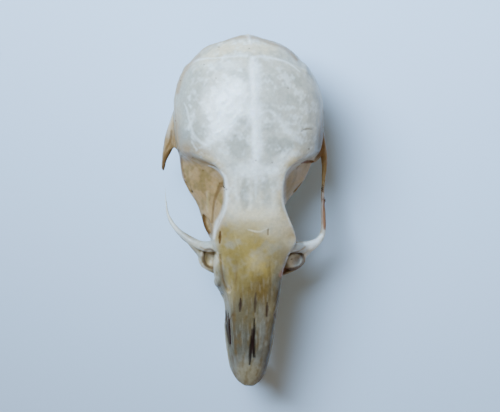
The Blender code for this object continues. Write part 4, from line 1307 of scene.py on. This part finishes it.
def painted(points, normals, depth, hollowness):
    """The bone's colour at every point, with its painted highlights and painted shade."""
    charts = charts_of(points, normals, depth)
    zones = zones_of(points, normals)
    colours = np.tile(COLOURS["ivory"], (len(points), 1))
    colours = coated(colours, points, zones, BASE_COATS)
    for centre, radii, turn, colour, strength, *own_blur in CROWN_PATCHES:
        weight = on_patch(charts["crown"], centre, radii, turn, *(own_blur or [PATCH_BLUR]))
        colours = paint(colours, weight, colour, strength)
    colours = coated(colours, points, zones, UPPER_COATS)
    snout = zones["snout"]
    grain = points * GRAIN_STRETCH
    colours = paint(colours, snout * ramp(mottled(grain, GRAIN_WAVE, seed=11), -0.3, 1.8), "ochre", 0.50)
    colours = paint(colours, snout * ramp(uneven(grain, FINE_GRAIN_WAVE, seed=12), 0.1, 1.8), "grey", 0.12)
    # Umber in hollows and creases is partly dirt gathered there and partly painted shade.
    colours = paint(colours, ramp(hollowness, *HOLLOW_SPAN), "umber", 0.35)
    # White on raised ridges and edges outside the sockets, snout and arches is a painted highlight.
    ridge_highlight = ramp(-hollowness, *HOLLOW_SPAN) * (1 - zones["socket"]) * (1 - snout) * (1 - zones["arches"])
    colours = paint(colours, ridge_highlight, "white", 0.22)
    for chart, lines in LINES.items():
        for path, _, stain in lines.values():
            if stain:
                half_width, colour, strength = stain
                core = CRISP_CORE if colour in CRISP_COLOURS else 0.0
                weight = on_line(charts[chart], path, half_width, core=core)
                colours = paint(colours, weight, colour, strength)
    for spot in SPECKS:
        weight = on_patch(charts["crown"], spot, (SPECK_RADIUS, SPECK_RADIUS), blur=SPECK_BLUR)
        colours = paint(colours, weight, "umber", SPECK_COLOUR_STRENGTH)
    return paint(colours, ramp(depth, *INSIDE_DEPTH), "hollow", INSIDE_STRENGTH)


def store_colours(mesh, name, colours):
    layer = mesh.attributes.new(name, "FLOAT_COLOR", "POINT")
    with_alpha = np.ones((len(colours), 4))
    with_alpha[:, :3] = colours
    layer.data.foreach_set("color", with_alpha.ravel())


def hollowness_of(mesh, points, normals, rounds):
    """How far each point lies under the mean surface round it, in millimetres: above 0 in a hollow."""
    edges = edges_of(mesh)
    smooth = points
    for _ in range(rounds):
        smooth = neighbour_mean(smooth, edges)
    return np.sum((smooth - points) * normals, axis=1)


points = points_of(bone.data)
normals = normals_of(bone.data)
depth = under_skin(points)
hollowness = hollowness_of(bone.data, points, normals, rounds=12)
store_colours(bone.data, "bone_colour", painted(points, normals, depth, hollowness))
print("bone painted", round(time.time() - started, 1), "s")

# %% [markdown]
# The incisors are one curved rod each, enamelled only on the front, so they wear to a chisel.
# Each is a loft along an arc, cut at the tip. The molars' crowns carry rows of cusps.
# Those repeat by a rule, so Geometry Nodes set them out on a grid, and a voxel skin fuses them
# to the crown.

# %% Node helpers
def add_node(tree, kind, settings=None, links=None):
    """Adds a node, sets its properties and inputs, and links its inputs to other nodes' outputs."""
    node = tree.nodes.new(kind)
    for key, value in (settings or {}).items():
        if isinstance(key, str) and hasattr(node, key):
            setattr(node, key, value)
        else:
            node.inputs[key].default_value = value
    for key, source in (links or {}).items():
        tree.links.new(source, node.inputs[key])
    return node


def new_tree(name, sockets, takes_mesh=False):
    """A node tree for Geometry Nodes with those inputs, and the outputs of its input node."""
    tree = bpy.data.node_groups.new(name, "GeometryNodeTree")
    if takes_mesh:
        tree.interface.new_socket("Geometry", in_out="INPUT", socket_type="NodeSocketGeometry")
    tree.interface.new_socket("Geometry", in_out="OUTPUT", socket_type="NodeSocketGeometry")
    for label, kind in sockets.items():
        tree.interface.new_socket(label, in_out="INPUT", socket_type="NodeSocket" + kind)
    return tree, add_node(tree, "NodeGroupInput").outputs


def set_out(tree, spots, form, size, turn, material):
    """Puts a form on every spot, gives it the material and hands it to the tree's output."""
    placed = add_node(tree, "GeometryNodeInstanceOnPoints", links={
        "Points": spots, "Instance": form, "Scale": size, "Rotation": turn,
    })
    realized = add_node(tree, "GeometryNodeRealizeInstances", links={"Geometry": placed.outputs["Instances"]})
    covered = add_node(tree, "GeometryNodeSetMaterial", links={
        "Geometry": realized.outputs["Geometry"], "Material": material,
    })
    add_node(tree, "NodeGroupOutput", links={"Geometry": covered.outputs["Geometry"]})


def from_tree(name, tree, values, mesh=None):
    """A plain object made by a node tree, whose inputs are set by name, from a mesh if one is given."""
    maker = put_in_scene(name, mesh or bpy.data.meshes.new(name))
    step = maker.modifiers.new(name, "NODES")
    step.node_group = tree
    for socket in tree.interface.items_tree:
        if socket.in_out == "INPUT" and socket.name in values:
            step[socket.identifier] = values[socket.name]
    return baked(maker)


# %% Incisors
INCISOR_ARC_CENTRE = (-7.35, 1.90)
INCISOR_ARC_RADIUS = 3.34
INCISOR_TIP_DEG = -37
INCISOR_SPARE_DEG = 4
INCISOR_ROOT_DEG = 50
INCISOR_TIP_X = 0.37
INCISOR_ROOT_X = 0.62
INCISOR_HALF_WIDTH = 0.34
INCISOR_HALF_DEPTH = 0.56
INCISOR_WIDTH_POWER = 0.85
INCISOR_DEPTH_POWER = 0.9
INCISOR_BEVEL_DEG = 38
INCISOR_EDGE = 0.25
INCISOR_RINGS = 90
INCISOR_AROUND = 40


def incisor(side):
    """A gnawing tooth: flatter in front than behind, bent along an arc, ground to a chisel."""
    centre_y, centre_z = INCISOR_ARC_CENTRE
    turns = np.linspace(0, 2 * math.pi, INCISOR_AROUND, endpoint=False)
    across = INCISOR_HALF_WIDTH * np.sign(np.cos(turns)) * np.abs(np.cos(turns)) ** INCISOR_WIDTH_POWER
    deep = INCISOR_HALF_DEPTH * np.sign(np.sin(turns)) * np.abs(np.sin(turns)) ** INCISOR_DEPTH_POWER
    rings = []
    for degrees in np.linspace(INCISOR_TIP_DEG - INCISOR_SPARE_DEG, INCISOR_ROOT_DEG, INCISOR_RINGS):
        angle = math.radians(degrees)
        share = (degrees - INCISOR_TIP_DEG) / (INCISOR_ROOT_DEG - INCISOR_TIP_DEG)
        middle_x = INCISOR_TIP_X + (INCISOR_ROOT_X - INCISOR_TIP_X) * share
        outward = np.array((0, -math.cos(angle), math.sin(angle)))
        middle = np.array((middle_x * side, centre_y, centre_z)) + outward * INCISOR_ARC_RADIUS
        rings.append(middle + across[:, None] * np.array((1, 0, 0)) + deep[:, None] * outward)
    tooth = loft("incisor", rings)
    bm = bmesh.new()
    bm.from_mesh(tooth.data)
    slope = math.radians(INCISOR_BEVEL_DEG)
    edge_y = min(v.co.y for v in bm.verts if v.co.z < INCISOR_EDGE) + INCISOR_EDGE
    cuts = [((0, edge_y, 0.0), (0, math.sin(slope), -math.cos(slope))), ((0, 0, 0.0), (0, 0, -1))]
    for point, normal in cuts:
        parts = bm.verts[:] + bm.edges[:] + bm.faces[:]
        found = bmesh.ops.bisect_plane(bm, geom=parts, plane_co=point, plane_no=normal, clear_outer=True)
        rim = [item for item in found["geom_cut"] if isinstance(item, bmesh.types.BMEdge)]
        bmesh.ops.holes_fill(bm, edges=rim)
    bmesh.ops.recalc_face_normals(bm, faces=bm.faces)
    bm.to_mesh(tooth.data)
    bm.free()
    return tooth


ENAMEL_AMBER = np.array(linear("#C98A3A")[:3])
ENAMEL_PALE = np.array(linear("#DDBB7C")[:3])
DENTINE = np.array(linear("#D8C69E")[:3])
FRONT_SPAN = (0.02, 0.14)
AMBER_SPAN = (0.15, 0.50)
BAND_WAVE = 0.5
BAND_STRETCH = (0.3, 1, 1)
BAND_STRENGTH = 0.08


def incisor_colours(points):
    """Amber enamel on the outer face of the arc, paler at its edge, and dentine behind."""
    centre = np.array(INCISOR_ARC_CENTRE)
    outward = np.linalg.norm(points[:, 1:] - centre, axis=1) - INCISOR_ARC_RADIUS
    front = ramp(outward, *FRONT_SPAN)[:, None]
    deep = ramp(outward, *AMBER_SPAN)[:, None]
    bands = (0.5 + 0.5 * uneven(points * BAND_STRETCH, BAND_WAVE, seed=21))[:, None].clip(0, 1)
    enamel = ENAMEL_PALE * (1 - deep) + ENAMEL_AMBER * deep
    enamel = enamel * (1 - BAND_STRENGTH + BAND_STRENGTH * bands)
    return DENTINE * (1 - front) + enamel * front


# %% Molars
# Each row has the middle along Y, the length, the width, the lowest height and the rows of cusps.
MOLARS = {
    "first": (-2.98, 1.52, 1.02, 1.30, 3),
    "second": (-1.68, 1.00, 0.98, 1.12, 2),
    "third": (-0.74, 0.76, 0.80, 1.02, 2),
}
MOLAR_MIDDLE_X = 1.92
MOLAR_ROOT_TOP = 2.55
MOLAR_ROOT_TAPER = 0.80
MOLAR_GRAIN = 0.033
MOLAR_AROUND = 56
MOLAR_SQUARENESS = 3.2
MOLAR_RINGS = 24
MOLAR_SWELL = 0.08
MOLAR_SWELL_RISE = 1.8
MOLAR_RELAX_ROUNDS = 3
CUSP_COLUMNS = 3
CUSP_REACH = 0.30
CUSP_SINK = 0.10
CUSP_LEAN_DEG = 20
CUSP_SHARE_OF_CELL = 0.56
CUSP_SMALLEST, CUSP_LARGEST = (0.90, 0.90, 0.90), (1.06, 1.06, 1.08)
CUSP_SEGMENTS, CUSP_RINGS = 20, 14
WEAR = 0.07


def cusp_tree():
    """Cusps set out in rows and columns, each an egg that leans back, as in a rodent's molar."""
    tree, given = new_tree("molar cusps", {
        "Length": "Float", "Width": "Float", "Rows": "Int", "Columns": "Int", "Reach": "Float",
        "Lean": "Float", "Seed": "Int", "Material": "Material",
    })
    pitches, spans = [], []
    for whole, count in (("Width", "Columns"), ("Length", "Rows")):
        pitch = add_node(tree, "ShaderNodeMath", {"operation": "DIVIDE"}, {0: given[whole], 1: given[count]})
        ends = {0: given[whole], 1: pitch.outputs[0]}
        span = add_node(tree, "ShaderNodeMath", {"operation": "SUBTRACT"}, ends)
        pitches.append(pitch.outputs[0])
        spans.append(span.outputs[0])
    grid = add_node(tree, "GeometryNodeMeshGrid", links={
        "Size X": spans[0], "Size Y": spans[1], "Vertices X": given["Columns"], "Vertices Y": given["Rows"],
    })
    cell = add_node(tree, "ShaderNodeCombineXYZ", links={"X": pitches[0], "Y": pitches[1]})
    shrink = {"operation": "SCALE", "Scale": CUSP_SHARE_OF_CELL}
    half_cell = add_node(tree, "ShaderNodeVectorMath", shrink, {0: cell.outputs[0]})
    upright = add_node(tree, "ShaderNodeCombineXYZ", links={"Z": given["Reach"]})
    parts = {0: half_cell.outputs[0], 1: upright.outputs[0]}
    size = add_node(tree, "ShaderNodeVectorMath", {"operation": "ADD"}, parts)
    limits = {"data_type": "FLOAT_VECTOR", 0: CUSP_SMALLEST, 1: CUSP_LARGEST}
    vary = add_node(tree, "FunctionNodeRandomValue", limits, {"Seed": given["Seed"]}).outputs[0]
    scale = add_node(tree, "ShaderNodeVectorMath", {"operation": "MULTIPLY"}, {0: size.outputs[0], 1: vary})
    leaning = add_node(tree, "ShaderNodeCombineXYZ", links={"X": given["Lean"]})
    form = {"Segments": CUSP_SEGMENTS, "Rings": CUSP_RINGS, "Radius": 1.0}
    egg_form = add_node(tree, "GeometryNodeMeshUVSphere", form).outputs["Mesh"]
    set_out(tree, grid.outputs["Mesh"], egg_form, scale.outputs[0], leaning.outputs[0], given["Material"])
    return tree


CUSPS = cusp_tree()
enamel = bpy.data.materials.new("molar enamel")


def molar(size, side, seed):
    """An upper molar: a rounded crown with its cusps, and the root that stands in the jaw."""
    middle_y, length, width, lowest, rows = size
    turns = np.linspace(0, 2 * math.pi, MOLAR_AROUND, endpoint=False)
    squared = np.abs(np.cos(turns)) ** MOLAR_SQUARENESS + np.abs(np.sin(turns)) ** MOLAR_SQUARENESS
    reach = squared ** (-1 / MOLAR_SQUARENESS)
    crown_base = lowest + CUSP_REACH - CUSP_SINK
    rings = []
    for share in np.linspace(0, 1, MOLAR_RINGS):
        bulge = MOLAR_SWELL * math.sin(math.pi * min(share * MOLAR_SWELL_RISE, 1.0))
        swell = 1 - MOLAR_SWELL + bulge - (1 - MOLAR_ROOT_TAPER) * share**2
        rings.append(np.column_stack([
            MOLAR_MIDDLE_X * side + reach * np.cos(turns) * width / 2 * swell,
            middle_y + reach * np.sin(turns) * length / 2 * swell,
            np.full(MOLAR_AROUND, crown_base + (MOLAR_ROOT_TOP - crown_base) * share),
        ]))
    cusps = from_tree("cusps", CUSPS, {
        "Length": length, "Width": width, "Rows": rows, "Columns": CUSP_COLUMNS, "Reach": CUSP_REACH,
        "Lean": math.radians(CUSP_LEAN_DEG), "Seed": seed, "Material": enamel,
    })
    move_points(cusps.data, points_of(cusps.data) + (MOLAR_MIDDLE_X * side, middle_y, lowest + CUSP_REACH))
    tooth = fused(gather("molar", [loft("crown", rings), cusps]), MOLAR_GRAIN)
    points = relaxed(points_of(tooth.data), edges_of(tooth.data), MOLAR_RELAX_ROUNDS)
    points[:, 2] = np.maximum(points[:, 2], lowest + WEAR)
    move_points(tooth.data, points)
    return tooth


ENAMEL_CREAM = np.array(linear("#E6DCC0")[:3])
WORN_DENTINE = np.array(linear("#A98A5A")[:3])
CREVICE = np.array(linear("#6E5636")[:3])
WORN_SPAN, WORN_STRENGTH = (0.0, 0.03), 0.6
CREVICE_RISE, CREVICE_FALL, CREVICE_STRENGTH = (0.08, 0.20), (0.26, 0.40), 0.35
NECK_SPAN, NECK_STRENGTH = (0.55, 1.0), 0.4


def molar_colours(points, size):
    """Cream enamel, tan dentine where the cusps are worn flat, and a brown stain between them."""
    lowest = size[3]
    height = points[:, 2] - lowest - WEAR
    coats = [
        (1 - ramp(height, *WORN_SPAN), WORN_DENTINE, WORN_STRENGTH),
        (ramp(height, *CREVICE_RISE) * (1 - ramp(height, *CREVICE_FALL)), CREVICE, CREVICE_STRENGTH),
        (ramp(height, *NECK_SPAN), DENTINE, NECK_STRENGTH),
    ]
    colours = np.tile(ENAMEL_CREAM, (len(points), 1))
    for weight, colour, strength in coats:
        share = strength * weight[:, None]
        colours = colours * (1 - share) + colour * share
    return colours


# %% [markdown]
# Crumbs of dried tissue cling to the thin place in the cheek arch and to the nerve opening in
# the eye socket. They are set out along short paths by a second tree, at a fixed seed.

# %% Crumbs of dried tissue
CRUMB_PATHS = [
    [(5.22, 1.15, 3.86), (5.20, 1.35, 3.90), (5.24, 1.60, 3.98), (5.30, 1.80, 4.05)],
    [(5.36, 0.70, 3.80), (5.38, 0.95, 3.84)],
    [(-1.84, 1.42, 6.35), (-1.92, 1.62, 6.30), (-1.98, 1.80, 6.20)],
]
CRUMB_RADIUS = 0.055
CRUMB_SPREAD = 0.07
CRUMB_SPACING = 0.065
CRUMB_SMALLEST, CRUMB_LARGEST = (0.4, 0.4, 0.3), (1.3, 1.1, 0.9)


def crumb_tree():
    """Irregular crumbs along a path, scattered a little to all sides of it."""
    tree, given = new_tree("crumbs along a path", {
        "Spacing": "Float", "Radius": "Float", "Spread": "Float", "Seed": "Int", "Material": "Material",
    }, takes_mesh=True)
    path = add_node(tree, "GeometryNodeMeshToCurve", links={"Mesh": given["Geometry"]})
    spots = add_node(tree, "GeometryNodeResampleCurve", {"mode": "LENGTH"}, {
        "Curve": path.outputs[0], "Length": given["Spacing"],
    })
    limits = {
        "outward": ((-1, -1, -1), (1, 1, 1)),
        "size": (CRUMB_SMALLEST, CRUMB_LARGEST),
        "turn": ((0, 0, 0), (math.pi, math.pi, math.pi)),
    }
    drawn = {}
    for use, (low, high) in limits.items():
        settings = {"data_type": "FLOAT_VECTOR", 0: low, 1: high}
        drawn[use] = add_node(tree, "FunctionNodeRandomValue", settings, {"Seed": given["Seed"]}).outputs[0]
    shift = {0: drawn["outward"], "Scale": given["Spread"]}
    offset = add_node(tree, "ShaderNodeVectorMath", {"operation": "SCALE"}, shift).outputs[0]
    loose = add_node(tree, "GeometryNodeSetPosition", links={"Geometry": spots.outputs[0], "Offset": offset})
    form = add_node(tree, "GeometryNodeMeshIcoSphere", {"Subdivisions": 2}, {"Radius": given["Radius"]})
    set_out(tree, loose.outputs[0], form.outputs["Mesh"], drawn["size"], drawn["turn"], given["Material"])
    return tree


CRUMBS = crumb_tree()
tissue = bpy.data.materials.new("dried tissue")


def crumbs(path, seed):
    """The crumbs along one path, as a plain mesh."""
    mesh = bpy.data.meshes.new("crumb path")
    mesh.from_pydata(path, [(i, i + 1) for i in range(len(path) - 1)], [])
    return from_tree("crumb path", CRUMBS, {
        "Spacing": CRUMB_SPACING, "Radius": CRUMB_RADIUS, "Spread": CRUMB_SPREAD, "Seed": seed,
        "Material": tissue,
    }, mesh)


# %% [markdown]
# The finished pieces are leaned and scaled into the frame, and each stands for its node.
# The materials come next. Dry bone is white, a little translucent and satin where it is dense,
# and duller where it is porous, so its gloss varies. Enamel is smoother. In both, some light
# soaks in and comes out close by, which is what subsurface scattering does.

# %% Placing in the frame
def to_frame(obj, name, covering):
    """Leans a piece with the face, scales it to metres, names it and gives it its material."""
    points = points_of(obj.data)
    points[:, 0] += lean(points[:, 1])
    move_points(obj.data, points * METRES)
    obj.name = obj.data.name = name
    obj.data.materials.clear()
    obj.data.materials.append(covering)
    obj.data.shade_smooth()
    return obj


# %% How a surface looks
COLOUR_MOTTLE_MM = 0.22
COLOUR_MOTTLE_SHADES = (0.84, 1.08)
NOISE_SPAN = (0.3, 0.7)
LIGHTNESS_SPAN = (0.03, 0.55)
SHINE_SPAN = (0.0, 0.5)
GLOW_OF_SHINE = 1.1
LIGHT_REACH = (1.0, 0.82, 0.62)
DENSE_IOR = 1.55
COAT_ROUGHNESS = 0.15


def surface(material, colour, roughness, gloss_patch_mm, bumps, translucency_mm, coat=0.0):
    """Fills a material: painted colour, uneven gloss, fine bumps and light that soaks in."""
    material.use_nodes = True
    tree = material.node_tree
    shader = tree.nodes["Principled BSDF"]
    place = add_node(tree, "ShaderNodeTexCoord").outputs["Object"]
    painted_colour = add_node(tree, "ShaderNodeAttribute", {"attribute_name": colour}).outputs["Color"]
    mottle = add_node(tree, "ShaderNodeTexNoise", {
        "Scale": 1 / (COLOUR_MOTTLE_MM * METRES), "Detail": 5.0, "Roughness": 0.65,
    }, {"Vector": place})
    patches = add_node(tree, "ShaderNodeTexNoise", {
        "Scale": 1 / (gloss_patch_mm * METRES), "Detail": 3.0,
    }, {"Vector": place})
    lightness = add_node(tree, "ShaderNodeRGBToBW", links={"Color": painted_colour}).outputs[0]
    spans = {
        "shade": (mottle.outputs["Fac"], NOISE_SPAN, COLOUR_MOTTLE_SHADES),
        "shine": (lightness, LIGHTNESS_SPAN, SHINE_SPAN),
        "gloss": (patches.outputs["Fac"], NOISE_SPAN, roughness),
    }
    mapped = {}
    for use, (value, taken, given) in spans.items():
        limits = {"From Min": taken[0], "From Max": taken[1], "To Min": given[0], "To Max": given[1]}
        mapped[use] = add_node(tree, "ShaderNodeMapRange", limits, {"Value": value}).outputs[0]
    shine = {0: mapped["shine"]}
    varnish = add_node(tree, "ShaderNodeMath", {"operation": "MULTIPLY", 1: 2 * coat}, shine)
    glow = add_node(tree, "ShaderNodeMath", {"operation": "MULTIPLY", 1: GLOW_OF_SHINE}, shine)
    shading = {0: painted_colour, "Scale": mapped["shade"]}
    tinted = add_node(tree, "ShaderNodeVectorMath", {"operation": "SCALE"}, shading)
    normal = None
    for pattern, size_mm, height_mm in bumps:
        texture = add_node(tree, pattern, {"Scale": 1 / (size_mm * METRES)}, {"Vector": place})
        settings = {"Strength": 1.0, "Distance": height_mm * METRES}
        bump = add_node(tree, "ShaderNodeBump", settings, {"Height": texture.outputs[0]})
        if normal:
            tree.links.new(normal, bump.inputs["Normal"])
        normal = bump.outputs[0]
    linked = {
        "Base Color": tinted.outputs[0],
        "Subsurface Weight": glow.outputs[0],
        "Specular IOR Level": mapped["shine"],
        "Coat Weight": varnish.outputs[0],
        "Roughness": mapped["gloss"],
        "Normal": normal,
    }
    for socket, source in linked.items():
        tree.links.new(source, shader.inputs[socket])
    even = {
        "Subsurface Radius": LIGHT_REACH,
        "Subsurface Scale": translucency_mm * METRES,
        "IOR": DENSE_IOR,
        "Coat Roughness": COAT_ROUGHNESS,
    }
    for socket, value in even.items():
        shader.inputs[socket].default_value = value
    return material


# %% Bone, enamel and dried tissue
NOISE, PORES = "ShaderNodeTexNoise", "ShaderNodeTexVoronoi"
dry_bone = surface(
    bpy.data.materials.new("dry bone"), "bone_colour", roughness=(0.28, 0.50), gloss_patch_mm=0.8,
    bumps=[(NOISE, 0.30, 0.010), (PORES, 0.11, 0.004), (NOISE, 0.05, 0.003)], translucency_mm=0.10,
    coat=0.15,
)
amber_enamel = surface(
    bpy.data.materials.new("incisor enamel"), "tooth_colour", roughness=(0.16, 0.28), gloss_patch_mm=0.4,
    bumps=[(NOISE, 0.20, 0.003)], translucency_mm=0.15, coat=0.4,
)
surface(
    enamel, "tooth_colour", roughness=(0.18, 0.32), gloss_patch_mm=0.3,
    bumps=[(NOISE, 0.10, 0.003)], translucency_mm=0.15, coat=0.3,
)
surface(
    tissue, "tissue_colour", roughness=(0.45, 0.75), gloss_patch_mm=0.2,
    bumps=[(NOISE, 0.04, 0.010)], translucency_mm=0.06,
)


def show(piece, node):
    """Makes a piece ride with the skull and stand for its node."""
    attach(piece, "root")
    if node:
        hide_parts(node)


show(to_frame(bone, "cranium_bone", dry_bone), "cranium")
for side_name, side in SIDES.items():
    tooth = incisor(side)
    store_colours(tooth.data, "tooth_colour", incisor_colours(points_of(tooth.data)))
    tooth = to_frame(tooth, f"incisor_tooth_{side_name}", amber_enamel)
    show(tooth, f"incisor_{side_name}")
    for seed, (place, size) in enumerate(MOLARS.items()):
        tooth = molar(size, side, seed)
        store_colours(tooth.data, "tooth_colour", molar_colours(points_of(tooth.data), size))
        tooth = to_frame(tooth, f"molar_tooth_{side_name}_{place}", enamel)
        show(tooth, f"molar_{side_name}_{place}")
dirt = gather("dried_tissue", [crumbs(path, seed) for seed, path in enumerate(CRUMB_PATHS)])
umber_crumbs = uneven(points_of(dirt.data), wavelength=0.3, seed=31)[:, None] > 0
dirt_colours = np.where(umber_crumbs, COLOURS["umber"], COLOURS["dark"])
store_colours(dirt.data, "tissue_colour", dirt_colours)
show(to_frame(dirt, "dried_tissue", tissue), None)
print("all pieces placed", round(time.time() - started, 1), "s")

# %% [markdown]
# The stage is a plain pale board. The light is soft daylight from a window at the upper left,
# so shadows fall to the right, and it weakens towards the bottom of the picture.

# %% Stage and light
BOARD_HALF_SIZE = 0.6
WINDOW_PLACE = (-0.056, 0.066, 0.105)
WINDOW_SIZE = 0.10
WINDOW_SPREAD_DEG = 60
WINDOW_AIM = Vector((0.012, 0.040, 0.0))
WINDOW_WATTS = 0.146
WINDOW_COLOUR = "#C3E1FF"
SKY_COLOUR = "#F8DFC4"
SKY_STRENGTH = 0.34
BOARD_COLOUR = "#C1D6EA"
BOARD_ROUGHNESS = 0.7


def stage():
    mesh = bpy.data.meshes.new("board")
    bm = bmesh.new()
    bmesh.ops.create_grid(bm, x_segments=1, y_segments=1, size=BOARD_HALF_SIZE)
    bm.to_mesh(mesh)
    bm.free()
    board = put_in_scene("board", mesh)
    paint_layer = bpy.data.materials.new("matt white paint")
    paint_layer.use_nodes = True
    shader = paint_layer.node_tree.nodes["Principled BSDF"]
    shader.inputs["Base Color"].default_value = linear(BOARD_COLOUR)
    shader.inputs["Roughness"].default_value = BOARD_ROUGHNESS
    mesh.materials.append(paint_layer)


def daylight():
    light = bpy.data.lights.new("window", "AREA")
    light.shape = "DISK"
    light.size = WINDOW_SIZE
    light.energy = WINDOW_WATTS
    light.color = linear(WINDOW_COLOUR)[:3]
    light.spread = math.radians(WINDOW_SPREAD_DEG)
    lamp = put_in_scene("window", light)
    lamp.location = WINDOW_PLACE
    lamp.rotation_euler = (Vector(WINDOW_PLACE) - WINDOW_AIM).to_track_quat("Z", "Y").to_euler()
    world = bpy.data.worlds.new("sky")
    bpy.context.scene.world = world
    world.use_nodes = True
    sky = world.node_tree.nodes["Background"]
    sky.inputs["Color"].default_value = linear(SKY_COLOUR)
    sky.inputs["Strength"].default_value = SKY_STRENGTH


stage()
daylight()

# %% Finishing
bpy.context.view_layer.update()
print("made in", round(time.time() - started, 1), "s")
